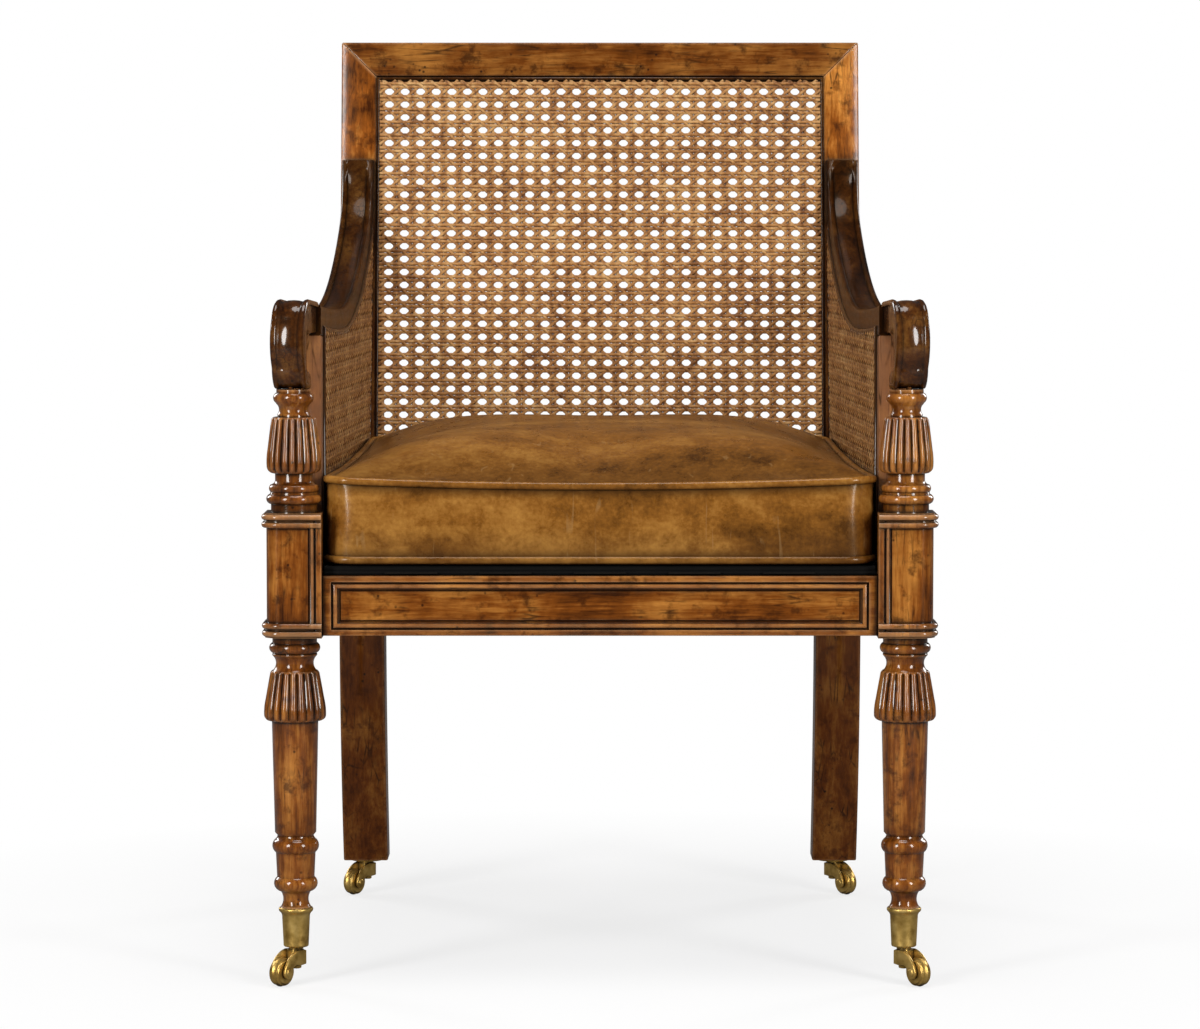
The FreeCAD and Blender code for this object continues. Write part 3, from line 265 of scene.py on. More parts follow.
def outline(corners, count, closed=True):
    # Corners are (across, up) or (across, up, radius of the edge to the next corner).
    points = []
    pairs = zip(corners, corners[1:] + corners[:1] if closed else corners[1:])
    for corner, beyond in pairs:
        radius = corner[2] if len(corner) > 2 else 0
        points += arcBetween(corner[:2], beyond[:2], radius, count)
    if not closed:
        points.append(Vector(corners[-1][:2]))
    return points


def millimetres(corners, count=5, closed=False):
    return [point / 1000 for point in outline(corners, count, closed)]


def place(piece, spot, turns):
    # Sets the mesh itself in its place, so that the object stays at the origin.
    matrix = Matrix.Translation(Vector(spot))
    for axis, degrees in turns:
        matrix = matrix @ Matrix.Rotation(math.radians(degrees), 4, axis)
    piece.data.transform(matrix)
    piece.data.update()
    return piece


def dress(piece, finish, body, slot, *nodes):
    piece.data.materials.clear()
    piece.data.materials.append(finish)
    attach(piece, body)
    if nodes:
        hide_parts(*nodes)
    return piece


def dressPair(right, leftName, finish, slot, node):
    left = mirrorPiece(right, leftName)
    dress(right, finish, "frame", slot, node + "_right")
    dress(left, finish, "frame", slot, node + "_left")


# Shader helpers

class Value:
    def __init__(self, tree, socket):
        self.tree = tree
        self.socket = socket

    def calc(self, operation, first, second):
        return addNode(self.tree, "ShaderNodeMath", {"operation": operation}, {0: first, 1: second})

    def __add__(self, other):
        return self.calc("ADD", self, other)

    def __radd__(self, other):
        return self.calc("ADD", other, self)

    def __sub__(self, other):
        return self.calc("SUBTRACT", self, other)

    def __rsub__(self, other):
        return self.calc("SUBTRACT", other, self)

    def __mul__(self, other):
        return self.calc("MULTIPLY", self, other)

    def __rmul__(self, other):
        return self.calc("MULTIPLY", other, self)


def addNode(tree, kind, settings=None, sockets=None, out=0):
    made = tree.nodes.new(kind)
    for key, value in (settings or {}).items():
        if key == "stops":
            elements = made.color_ramp.elements
            while len(elements) < len(value):
                elements.new(0.5)
            for element, (spot, colour) in zip(elements, value):
                element.position = spot
                element.color = (*colour, 1)
        else:
            setattr(made, key, value)
    for key, value in (sockets or {}).items():
        if isinstance(value, Value):
            tree.links.new(value.socket, made.inputs[key])
        else:
            made.inputs[key].default_value = value
    return Value(tree, made.outputs[out])


def startFinish(name):
    finish = bpy.data.materials.new(name)
    finish.use_nodes = True
    tree = finish.node_tree
    shader = tree.nodes["Principled BSDF"]
    coords = addNode(tree, "ShaderNodeTexCoord", out="Object")
    return finish, tree, shader, coords


def stretch(tree, coords, scale, spot=(0, 0, 0)):
    return addNode(tree, "ShaderNodeMapping", {}, {"Vector": coords, "Scale": scale, "Location": spot})


def cloudy(tree, coords, scale, detail=3, rough=0.55, distort=0):
    sockets = {"Vector": coords, "Scale": scale, "Detail": detail, "Roughness": rough, "Distortion": distort}
    return addNode(tree, "ShaderNodeTexNoise", {}, sockets)


def ramp(tree, value, stops):
    return addNode(tree, "ShaderNodeValToRGB", {"stops": stops}, {0: value})


def band(tree, value, low, high):
    sockets = {0: value, 1: low, 2: high, 3: 0.0, 4: 1.0}
    return addNode(tree, "ShaderNodeMapRange", {"clamp": True}, sockets)


def between(tree, value, low, high):
    # Noise keeps to about 0.3 to 0.7.
    return band(tree, value, 0.3, 0.7) * (high - low) + low


def blend(values, shares):
    parts = [value * share for value, share in zip(values, shares)]
    whole = parts[0]
    for part in parts[1:]:
        whole = whole + part
    return whole


def cells(tree, coords, scale, feature="F1"):
    return addNode(tree, "ShaderNodeTexVoronoi", {"feature": feature}, {"Vector": coords, "Scale": scale})


def openness(tree, reach, **settings):
    # 1 on open faces, falling to 0 where the surface is closed in.
    settings = {"samples": 6, **settings}
    return addNode(tree, "ShaderNodeAmbientOcclusion", settings, {"Distance": reach}, out="AO")


def bumpy(tree, height, strength, distance):
    return addNode(tree, "ShaderNodeBump", {}, {"Strength": strength, "Distance": distance, "Height": height})


def mixColour(tree, share, first, second):
    sockets = {0: share, 6: first, 7: second}
    return addNode(tree, "ShaderNodeMix", {"data_type": "RGBA", "blend_type": "MIX"}, sockets, out=2)


def feed(tree, shader, **links):
    for key, value in links.items():
        socket = shader.inputs[key.replace("_", " ")]
        if isinstance(value, Value):
            tree.links.new(value.socket, socket)
        else:
            socket.default_value = value


def flat(colour):
    return (*colour, 1)


def grimeAndShadeIn(tree, base, reach, span, depth, colour):
    # Dirt and tarnish gather, and shade is painted, where the surface is closed in.
    closedIn = 1 - band(tree, openness(tree, reach), *span)
    return mixColour(tree, closedIn * depth, base, flat(colour))


# Finishes; a noise is its scale, detail, roughness and distortion

woodLook = {
    "deep": (0.0045, 0.0015, 0.0006),  # wax and dirt in the recesses, and painted shade there
    "dark": (0.040, 0.0085, 0.0008),
    "mid": (0.225, 0.060, 0.0055),
    "light": (0.560, 0.220, 0.038),
    "paintedLight": (0.520, 0.250, 0.125),  # painted light on the stiles' faces under the arms, where the front lamps fall
    "rubbedAndHighlit": (0.580, 0.310, 0.140),  # ridges gone back to paler wood by wear, with painted highlight on them
    "sheen": (1.0, 0.62, 0.30, 1),  # colour of the broad gloss
    "stops": {"dark": 0.39, "mid": 0.49, "light": 0.61},
    "grain": {"Z": (1, 1, 0.09), "X": (0.09, 1, 1), "Y": (1, 0.09, 1)},
    "patches": (13, 4, 0.6, 0.4), "figure": (34, 5, 0.62, 1.4),
    "fibre": (340, 4, 0.7), "mottle": (55, 5, 0.65),
    "shares": (0.40, 0.38, 0.22),  # of patches, figure and fibre in the tone
    "relief": (0.35, 0.45, -0.8, -0.5),  # of fibre, mottle, flecks and cracks in the bumps
    # the last of these is how deep the painted shade below the seat goes
    "stainSpan": (0.53, 0.66), "stainDepth": 0.75, "shadeBelowDepth": 0.7,
    "fleckScale": 120, "fleckSpan": (0.10, 0.22), "fleckDepth": 0.85,
    "fleckPlaces": (38, 2), "fleckChosen": (0.56, 0.62),
    "crackScale": 130, "crackSpan": (0.01, 0.07), "crackDepth": 0.7, "crackWander": 0.12,
    "crackPlaces": (26, 3, 0.6), "crackChosen": (0.50, 0.62),
    # wax in the hollows, partly painted shade where the surface is closed in
    "waxAndShadeReach": (0.012, 0.0035), "waxAndShadeShares": (0.6, 0.4), "waxAndShadeSpan": (0.64, 1.0), "waxAndShadeWander": 0.3,
    # ridges lightened by wear and by painted highlight
    "rubAndHighlightReach": 0.0035, "rubAndHighlightSpan": (0.45, 0.90), "rubAndHighlightWander": 0.5,
    "roughness": (0.26, 0.44), "bump": (0.32, 0.0009), "specular": 0.15, "coatRoughness": 0.10,
}


def woodFinish(name, grainAxis, tone=1.0, shift=(0, 0, 0), gloss=0.6, shadeBelow=None, waxAndShade=0.96, paintedLight=0, rubAndHighlight=0.6):
    w = woodLook
    finish, tree, shader, coords = startFinish(name)
    along = stretch(tree, coords, w["grain"][grainAxis], shift)
    patches = cloudy(tree, coords, *w["patches"])
    figure = cloudy(tree, along, *w["figure"])
    fibre = cloudy(tree, along, *w["fibre"])
    mottle = cloudy(tree, coords, *w["mottle"])
    uneven = mottle - 0.5
    toned = {key: [part * tone for part in w[key]] for key in w["stops"]}
    tones = blend((patches, figure, fibre), w["shares"])
    base = ramp(tree, tones, [(spot, toned[key]) for key, spot in w["stops"].items()])
    base = mixColour(tree, band(tree, mottle, *w["stainSpan"]) * w["stainDepth"], base, flat(toned["dark"]))
    # painted light: the wood is lightened by this share
    if paintedLight:
        base = mixColour(tree, paintedLight, base, flat(w["paintedLight"]))
    if shadeBelow:  # painted shade: the wood low down, below the seat, is darkened
        height = addNode(tree, "ShaderNodeSeparateXYZ", {}, {0: coords}, out="Z")
        shade = 1 - band(tree, height, *shadeBelow)
        base = mixColour(tree, shade * w["shadeBelowDepth"], base, flat(toned["dark"]))
    # worm holes, flecks and old knocks
    flecks = 1 - band(tree, cells(tree, coords, w["fleckScale"]), *w["fleckSpan"])
    flecks = flecks * band(tree, cloudy(tree, coords, *w["fleckPlaces"]), *w["fleckChosen"])
    base = mixColour(tree, flecks * w["fleckDepth"], base, flat(w["deep"]))
    lines = cells(tree, along, w["crackScale"], "DISTANCE_TO_EDGE") + uneven * w["crackWander"]
    cracked = band(tree, cloudy(tree, coords, *w["crackPlaces"]), *w["crackChosen"])
    cracks = (1 - band(tree, lines, *w["crackSpan"])) * cracked
    base = mixColour(tree, cracks * w["crackDepth"], base, flat(w["deep"]))
    # ridges lightened: wear, and painted highlight
    if rubAndHighlight:
        ridges = openness(tree, w["rubAndHighlightReach"], inside=True) + uneven * w["rubAndHighlightWander"]
        rubbedAndHighlit = 1 - band(tree, ridges, *w["rubAndHighlightSpan"])
        base = mixColour(tree, rubbedAndHighlit * rubAndHighlight, base, flat(w["rubbedAndHighlit"]))
    # dark wax left in the hollows, and painted shade: darker where the surface is closed in
    hollow = blend([openness(tree, reach) for reach in w["waxAndShadeReach"]], w["waxAndShadeShares"])
    waxedAndShaded = (1 - band(tree, hollow + uneven * w["waxAndShadeWander"], *w["waxAndShadeSpan"])) * waxAndShade
    base = mixColour(tree, waxedAndShaded, base, flat(w["deep"]))
    rough = between(tree, patches * 0.5 + fibre * 0.5, *w["roughness"])
    relief = blend((fibre, mottle, flecks, cracks), w["relief"])
    feed(tree, shader, Base_Color=base, Roughness=rough, Normal=bumpy(tree, relief, *w["bump"]),
         Specular_IOR_Level=w["specular"], Specular_Tint=w["sheen"], Coat_Weight=gloss,
         Coat_Roughness=w["coatRoughness"])
    return finish


caneLook = {
    "stops": [(0.36, (0.16, 0.054, 0.011)), (0.50, (0.42, 0.19, 0.055)), (0.64, (0.62, 0.36, 0.14))],
    "patches": (16, 4, 0.6), "streaks": (150, 3, 0.6), "shares": (0.35, 0.65),
    # painted shade: the cane darkens between and under its strands
    "grimeAndShade": {"reach": 0.0045, "span": (0.40, 0.98), "depth": 0.9, "colour": (0.030, 0.011, 0.003)},
    "bump": (0.2, 0.0004), "roughness": 0.45, "specular": 0.3,
}


def caneFinish(name):
    c = caneLook
    finish, tree, shader, coords = startFinish(name)
    patches = cloudy(tree, coords, *c["patches"])
    streaks = cloudy(tree, coords, *c["streaks"])
    base = ramp(tree, blend((patches, streaks), c["shares"]), c["stops"])
    # painted shade between the strands
    base = grimeAndShadeIn(tree, base, **c["grimeAndShade"])
    feed(tree, shader, Base_Color=base, Roughness=c["roughness"], Specular_IOR_Level=c["specular"],
         Normal=bumpy(tree, streaks, *c["bump"]))
    return finish


leatherLook = {
    "dark": (0.075, 0.026, 0.0035),
    "mid": (0.236, 0.089, 0.0120),
    "light": (0.425, 0.195, 0.038),
    # colour of the painted shade along the seams
    "seam": (0.030, 0.011, 0.0025),
    "scratch": (0.42, 0.25, 0.10),
    "sheen": (1.0, 0.70, 0.38, 1),
    "stops": {"dark": 0.375, "mid": 0.49, "light": 0.605},
    "patchStretch": (0.6, 1, 1.2), "patches": (8.5, 5, 0.62, 0.6),
    "mottle": (42, 6, 0.68, 0.3), "fine": (260, 3, 0.6), "shares": (0.54, 0.29, 0.17),
    "relief": (0.3, 0.6, 1.2),  # of pebbles, mottle and patches in the bumps
    "lowerDarkSpan": (0.405, 0.445), "lowerDarkWander": (0.06, 0.05), "lowerDarkDepth": 0.75,  # darker towards the bottom of the sides
    # painted shade along the seams
    "seamShadeSpan": (0.05, 1.0), "seamShadeWander": 0.3, "seamShadeDepth": 0.9,
    "scratchStretch": (1, 0.6, 0.16), "scratches": (120, 2, 0.4, 0.8),
    "scratchSpan": (0.68, 0.74), "scratchDepth": 0.25,
    # painted shade in creases and where the cushion is closed in
    "grimeAndShade": {"reach": 0.008, "span": (0.45, 0.96), "depth": 0.85, "colour": (0.018, 0.007, 0.002)},
    "pebbleScale": 620, "bump": (0.28, 0.0012), "roughness": (0.24, 0.38),
    "specular": 0.3, "coat": 0.3, "coatRoughness": 0.15,
}


def leatherFinish(name):
    w = leatherLook
    finish, tree, shader, coords = startFinish(name)
    patches = cloudy(tree, stretch(tree, coords, w["patchStretch"]), *w["patches"])
    mottle = cloudy(tree, coords, *w["mottle"])
    fine = cloudy(tree, coords, *w["fine"])
    uneven = mottle - 0.5
    tones = blend((patches, mottle, fine), w["shares"])
    base = ramp(tree, tones, [(spot, w[key]) for key, spot in w["stops"].items()])
    # darker towards the bottom of the cushion's sides
    height = addNode(tree, "ShaderNodeSeparateXYZ", {}, {0: coords}, out="Z")
    line = height + blend((uneven, patches - 0.5), w["lowerDarkWander"])
    lowerDark = 1 - band(tree, line, *w["lowerDarkSpan"])
    base = mixColour(tree, lowerDark * w["lowerDarkDepth"], base, flat(w["dark"]))
    # painted shade along the seams and round the top's edges
    seam = addNode(tree, "ShaderNodeAttribute", {"attribute_name": "seam"}, out="Fac")
    seamShaded = band(tree, seam + uneven * w["seamShadeWander"], *w["seamShadeSpan"])
    base = mixColour(tree, seamShaded * w["seamShadeDepth"], base, flat(w["seam"]))
    scratches = cloudy(tree, stretch(tree, coords, w["scratchStretch"]), *w["scratches"])
    scratched = band(tree, scratches, *w["scratchSpan"])
    base = mixColour(tree, scratched * w["scratchDepth"], base, flat(w["scratch"]))
    # painted shade where the cushion is closed in
    base = grimeAndShadeIn(tree, base, **w["grimeAndShade"])
    pebbles = cells(tree, coords, w["pebbleScale"], "SMOOTH_F1")
    relief = blend((pebbles, mottle, patches), w["relief"])
    feed(tree, shader, Base_Color=base, Roughness=between(tree, mottle, *w["roughness"]),
         Normal=bumpy(tree, relief, *w["bump"]), Specular_IOR_Level=w["specular"], Specular_Tint=w["sheen"],
         Coat_Weight=w["coat"], Coat_Roughness=w["coatRoughness"])
    return finish


brassLook = {
    "stops": [(0.3, (0.42, 0.24, 0.05)), (0.5, (0.66, 0.42, 0.11)), (0.7, (0.80, 0.55, 0.18))],
    "patches": (90, 4, 0.6),
    "grimeAndShade": {"reach": 0.006, "span": (0.35, 0.85), "depth": 0.9, "colour": (0.03, 0.016, 0.006)},  # tarnish
    "bump": (0.12, 0.0005), "roughness": (0.30, 0.48), "metallic": 0.85,
}


def brassFinish(name):
    b = brassLook
    finish, tree, shader, coords = startFinish(name)
    patches = cloudy(tree, coords, *b["patches"])
    base = grimeAndShadeIn(tree, ramp(tree, patches, b["stops"]), **b["grimeAndShade"])
    feed(tree, shader, Base_Color=base, Roughness=between(tree, patches, *b["roughness"]),
         Normal=bumpy(tree, patches, *b["bump"]), Metallic=b["metallic"])
    return finish


clothLook = {
    "slub": (60, 3), "shares": (0.6, 0.4),  # of weave and slub in the tone
    "bump": (0.4, 0.0006), "roughness": 0.9, "specular": 0.1,
}


def clothFinish(name, first, second, threads):
    c = clothLook
    finish, tree, shader, coords = startFinish(name)
    sockets = {"Vector": coords, "Scale": threads}
    across, down = (addNode(tree, "ShaderNodeTexWave", {"bands_direction": way}, sockets) for way in "XY")
    weave = across * 0.5 + down * 0.5
    slub = cloudy(tree, coords, *c["slub"])
    base = ramp(tree, blend((weave, slub), c["shares"]), [(0.3, first), (0.7, second)])
    feed(tree, shader, Base_Color=base, Normal=bumpy(tree, weave, *c["bump"]), Roughness=c["roughness"],
         Specular_IOR_Level=c["specular"])
    return finish


def steelFinish(name):
    finish, tree, shader, coords = startFinish(name)
    patches = cloudy(tree, coords, 160, 3)
    base = ramp(tree, patches, [(0.3, (0.25, 0.24, 0.23)), (0.7, (0.5, 0.5, 0.49))])
    feed(tree, shader, Base_Color=base, Roughness=patches * 0.3 + 0.25, Metallic=1)
    return finish


postWood = woodFinish("postWood", "Z", gloss=1.0)
railWood = woodFinish("railWood", "X", 0.92, (3, 1, 2))
# the arm rails are toned darker as painted shade on their inward faces
shadedArmWood = woodFinish("shadedArmWood", "Y", 0.20, (1, 4, 1), 0.22, rubAndHighlight=0)
scrollWood = woodFinish("scrollWood", "Y", 0.30, (1, 4, 1), 1.0, rubAndHighlight=0)
sideWood = woodFinish("sideWood", "Y", 0.85, (3, 4, 2))
# the side stiles are lightened as painted light
litStileWood = woodFinish("litStileWood", "Z", 1.2, (2, 4, 1), waxAndShade=0.6, paintedLight=0.5, rubAndHighlight=0)
# the rear posts get painted shade on the legs below the seat
backWood = woodFinish("backWood", "Z", 1.25, (2, 5, 3), shadeBelow=(0.30, 0.40))
topWood = woodFinish("topWood", "X", 0.66, (4, 2, 5))
beadWood = woodFinish("beadWood", "Z", 0.20, (5, 5, 5), 0.7, rubAndHighlight=0)
bareWood = woodFinish("bareWood", "X", 1.9, (6, 1, 4), 0.1, rubAndHighlight=0)
cane = caneFinish("cane")
leather = leatherFinish("leather")
brass = brassFinish("brass")
deckCloth = clothFinish("deckCloth", (0.003, 0.003, 0.003), (0.008, 0.007, 0.006), 500)
webCloth = clothFinish("webCloth", (0.006, 0.005, 0.004), (0.016, 0.013, 0.010), 260)
steel = steelFinish("steel")
print("finishes ready")


# Front posts: turned foot, shaft, reeded bulb, square block, reeded vase and cap

postSizes = {
    "turnSteps": 160,
    "reedCount": 20,
    "reedDeep": 0.0027,
    "reedFade": 0.05,  # share of the swelling's height
    "foot": 0.0384,
    # rise, radius, rounding of the run up to that point (positive bead, negative cove)
    "lower": [
        (0, 10.4, 0), (36, 12.9, 0), (0, 14.9, 0), (15.6, 14.5, -13), (13.9, 17.9, 7.8),
        (23.6, 19, 0), (12.4, 20, 8.2), (4.2, 17.3, -6), (3, 19.8, 0), (33, 20.5, 0),
        (38, 21.4, 0), (36.8, 22.2, 0), (0, 25.4, 0), (4.8, 29.7, 5), (15.3, 28.2, 60), (16.2, 25.3, 0),
        (9.1, 23.6, 0), (2.4, 21.8, 4), (0, 21.1, 0), (14, 20.7, -9.8), (2.8, 20.7, 1.6),
        (0.7, 22, 0), (9, 22, 5.4), (0, 21.3, 0), (8, 21.3, 0), (0, 0, 0),
    ],
    "upperFoot": 0.4532,
    "upper": [
        (0, 22, 0), (9.5, 22, 0), (0, 23.5, 0), (9, 23.5, 4.9), (0, 23, 0), (2, 22.4, 0),
        (7, 22.4, 4.9), (3.5, 18, -6), (7.5, 18, 0), (0, 20.5, 0), (5.9, 26, 6.5), (16.6, 25.2, 70),
        (17.2, 23, 0), (11.8, 21.4, 0), (2.2, 17.6, 4), (0, 15.5, 0), (2.3, 15.5, 0), (10, 16.4, -7.2),
        (1, 17, 0), (9.6, 17, 5.9), (0, 16.4, 0), (3.4, 16.4, 0), (0, 0, 0),
    ],
    "bulb": (0.2549, 0.3027),
    "vase": (0.4917, 0.5454),
    "block": (0.3357, 0.4547),
    "blockHalf": 0.0275,
    "cornerRound": 0.016,
    "blockEase": 0.0008,
    "stripRound": 0.0030,
    "strips": (0.0040, 0.0112),
    # thickness and rise of each inset from the block's edge to its sunk field
    "panel": [(0.0052, 0), (0.0005, -0.0020), (0.0011, 0), (0.0005, 0.0020), (0.0009, 0.0005), (0.0010, 0),
              (0.0009, -0.0005), (0.0006, -0.0030), (0.0012, -0.0004), (0.0010, 0.0010)],
}


def turnedLine(rows, foot):
    corners = [(0, foot * 1000)]
    for rise, radius, rounding in rows:
        corners[-1] = (*corners[-1][:2], rounding)
        corners.append((radius, corners[-1][1] + rise))
    return millimetres(corners, 7)


def carveReeds(piece, spot, low, high):
    count = postSizes["reedCount"]
    for vert in piece.data.vertices:
        if low < vert.co.z < high:
            share = (vert.co.z - low) / (high - low)
            across = vert.co.xy - spot.xy
            turn = math.atan2(across.y, across.x)
            hollow = 1 - abs(math.cos(turn * count / 2))
            fade = min(1, share / postSizes["reedFade"], (1 - share) / postSizes["reedFade"])
            across *= 1 - postSizes["reedDeep"] * hollow * fade / across.length
            vert.co.xy = spot.xy + across


def carvedBlock():
    half = postSizes["blockHalf"]
    foot, top = postSizes["block"]
    x, y = postSpot.xy
    block = addBox("blockRight", (x - half, y - half, foot), (x + half, y + half, top))
    openEdit(block)

    def outerCorner(edge):
        middle = (edge.verts[0].co + edge.verts[1].co) / 2
        upright = abs(edge.verts[0].co.z - edge.verts[1].co.z) > half
        return upright and middle.x > x and middle.y < y

    def wrapped(face):
        return abs(face.normal.z) < 0.5 and (face.normal.x > 0.05 or face.normal.y < -0.05)

    pick(block, "EDGE", outerCorner)
    bpy.ops.mesh.bevel(offset=postSizes["cornerRound"], segments=10, affect="EDGES")
    pick(block, "FACE", wrapped)
    for thick, rise in postSizes["panel"]:
        bpy.ops.mesh.inset(thickness=thick, depth=rise, use_even_offset=True)
    closeEdit()
    easeEdges(block, postSizes["blockEase"], 2,
              lambda edge: abs(edge.verts[0].co.z - edge.verts[1].co.z) > 0.1)
    smooth(block, 35)
    return block


def blockStrips():
    half = postSizes["blockHalf"]
    foot, top = postSizes["block"]
    bend = postSizes["cornerRound"]
    x, y = postSpot.xy
    corners = [(x - half, y - half), (x + half - bend, y - half, bend), (x + half, y - half + bend),
               (x + half, y + half)]
    plan = outline(corners, 10, closed=False)
    runs = []
    for lift in postSizes["strips"]:
        for height in (foot + lift, top - lift):
            runs.append([(*point, height) for point in plan])
    return tube("stripsRight", runs, postSizes["stripRound"])


def turning(name, rows, foot, reeded):
    piece = turnPiece(name, turnedLine(rows, foot), postSizes["turnSteps"], postSpot)
    carveReeds(piece, postSpot, *reeded)
    smooth(piece, 42)
    return piece


def frontPost():
    s = postSizes
    lower = turning("lowerTurning", s["lower"], s["foot"], s["bulb"])
    upper = turning("upperTurning", s["upper"], s["upperFoot"], s["vase"])
    return joinPieces("frontPostRight", [lower, upper, carvedBlock(), blockStrips()])


dressPair(frontPost(), "frontPostLeft", postWood, "show_wood", "front_post")
print("front posts turned")


# The raked back's own lines: its foot, which way it climbs, and square to that to the rear

backSizes = {"spot": (0, 0.196, 0.4167), "rake": 10, "half": 0.241, "foot": 0.033, "top": 0.476}
backFoot = Vector(backSizes["spot"])
rake = math.radians(backSizes["rake"])
backUp = Vector((0, math.sin(rake), math.cos(rake)))
backAway = Vector((0, math.cos(rake), -math.sin(rake)))


# Seat rails, side frames and top rail

railSizes = {
    "panel": [(0.0056, 0), (0.0005, -0.0024), (0.0013, 0), (0.0005, 0.0024), (0.0011, 0.0006), (0.0014, 0),
              (0.0011, -0.0006), (0.0007, -0.0036), (0.0015, -0.0006), (0.0012, 0.0012)],
    "sideMargin": 0.003,
    "frontEase": 0.0012,
    "ease": 0.0016,
    "topEase": 0.0022,
    "easedEdge": 0.018,  # shorter edges stay sharp
    # the top rail's lower edge rises behind the cane: below what height, from how deep, over what depth
    "cutBelow": 0.470, "cutDeep": 0.006, "cutRun": 0.02, "cutRise": 0.008,
}


def frontRail():
    low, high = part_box("front_seat_rail")
    rail = addBox("frontSeatRail", low, high)
    openEdit(rail)
    pick(rail, "FACE", lambda face: face.normal.y < -0.9)
    for index, (thick, rise) in enumerate(railSizes["panel"]):
        bpy.ops.mesh.inset(thickness=thick, depth=rise, use_even_offset=True)
        if index == 0:  # the uprights of the moulding stand further in
            wide = high.x - low.x - 2 * thick
            shrink = 1 - 2 * railSizes["sideMargin"] / wide
            bpy.ops.transform.resize(value=(shrink, 1, 1), center_override=(0, low.y, (low.z + high.z) / 2))
    closeEdit()
    easeEdges(rail, railSizes["frontEase"], 2,
              lambda edge: edge.calc_length() > 0.03 and edge.calc_face_angle(0) > 1.5)
    smooth(rail, 30)
    return rail


dress(frontRail(), railWood, "frame", "show_wood", "front_seat_rail")


def easedNode(node, name, finish, width=railSizes["ease"]):
    piece = copyNode(node, name)
    easeEdges(piece, width, 2, lambda edge: edge.calc_length() > railSizes["easedEdge"], 30)
    smooth(piece, 35)
    return dress(piece, finish, "frame", "show_wood", node)


for side in ("left", "right"):
    title = side.capitalize()
    easedNode(f"side_seat_rail_{side}", f"sideSeatRail{title}", sideWood)
    easedNode(f"side_lower_rail_{side}", f"sideLowerRail{title}", sideWood)
    easedNode(f"side_front_stile_{side}", f"sideFrontStile{title}", litStileWood)
    easedNode(f"side_rear_stile_{side}", f"sideRearStile{title}", litStileWood)
easedNode("rear_seat_rail", "rearSeatRail", railWood)
easedNode("lower_back_rail", "lowerBackRail", topWood)
topRail = easedNode("top_rail", "topRail", topWood, railSizes["topEase"])
for vert in topRail.data.vertices:
    spot = vert.co - backFoot
    behind = spot.dot(backAway) - railSizes["cutDeep"]
    if spot.dot(backUp) < railSizes["cutBelow"] and behind > 0:
        vert.co += backUp * railSizes["cutRise"] * min(behind / railSizes["cutRun"], 1)
print("rails eased")


# Rear posts: sabre leg below, raked back above, mitred under the top rail

rearSizes = {
    "inner": 0.230, "wide": 0.048, "deep": 0.044, "topDeep": 0.032, "footDeep": 0.042, "splay": 0.066,
    "foot": 0.038, "knee": 0.3447, "top": 0.922, "mitreTall": 0.048, "ease": 0.003,
    "cutBack": (0.0018, 0.0060), "cutSplit": 0.01,  # the inner face near the cane, and further behind it
}


def rearPost():
    s = rearSizes
    fall = s["knee"] - s["foot"]
    back = s["splay"] + s["footDeep"] - s["deep"]
    frontRound = (s["splay"] ** 2 + fall ** 2) / (2 * s["splay"])
    backRound = (back ** 2 + fall ** 2) / (2 * back)
    face, rakeFoot = backFoot.yz
    topFace = face + math.tan(rake) * (s["top"] - rakeFoot)
    corners = [
        (face + s["splay"], s["foot"]),
        (face + s["splay"] + s["footDeep"], s["foot"], -backRound),
        (face + s["deep"], s["knee"]),
        (face + s["deep"], rakeFoot),
        (topFace + s["topDeep"] * math.cos(rake), s["top"] - s["topDeep"] * math.sin(rake)),
        (topFace, s["top"]),
        (face, rakeFoot),
        (face, s["knee"], frontRound),
    ]
    points = [(s["inner"], *point) for point in outline(corners, 18)]
    post = drawLine("rearPostRight", points, closed=True)
    pushOut(post, (s["wide"], 0, 0))
    near, far = s["cutBack"]
    for vert in post.data.vertices:
        if vert.co.x < s["inner"] + 0.001 and vert.co.z > s["knee"] + 0.001:
            vert.co.x += near if (vert.co - backFoot).dot(backAway) < s["cutSplit"] else far
    openAll(post)
    corner = Vector((s["inner"] + s["wide"], topFace, s["top"]))
    away = (Vector((s["wide"], 0, 0)) + backUp * s["mitreTall"]).cross(backAway)
    if away.z < 0:
        away = -away
    bpy.ops.mesh.bisect(plane_co=corner, plane_no=away, use_fill=True, clear_outer=True)
    closeEdit()
    tidyMesh(post)
    easeEdges(post, s["ease"], 3, lambda edge: abs(edge.verts[0].co.x - edge.verts[1].co.x) < 0.001, 30)
    smooth(post, 35)
    return post


dressPair(rearPost(), "rearPostLeft", backWood, "show_wood", "rear_post")
print("rear posts shaped")


# Arms: a moulded rail swept from the scroll down, back and up the rear post

sideFrame = {"spot": (0.2836, -0.258, 0), "turn": 2.72}
armSizes = {
    "front": (0.003, 0.6517), "dip": (0.202, 0.6432), "sweep": 0.467,
    "turnCentre": (0.421, 0.7911), "turn": 0.080, "deep": 0.030, "steps": 90,
    "endRise": 0.004, "channelEnds": (0.022, 0.008), "channelFade": 0.012, "channelHalf": 0.0107,
    "channelFloor": -0.004,
    # across from the inner edge, and height, round the section
    "section": [
        (-16, -4), (-15.7, -2), (-14.7, -0.6), (-13, 0), (-11.3, -0.6), (-10.2, -1.8), (-9.6, -2.9),
        (-9, -2.7), (-5, -2.2), (0, -2.0), (5, -2.2), (9, -2.7), (9.6, -2.9), (10.2, -1.8),
        (11.3, -0.6), (13, 0), (14.7, -0.6), (15.7, -2), (16, -4), (16, -28.5), (14.5, -30),
        (-14.5, -30), (-16, -28.5),
    ],
}


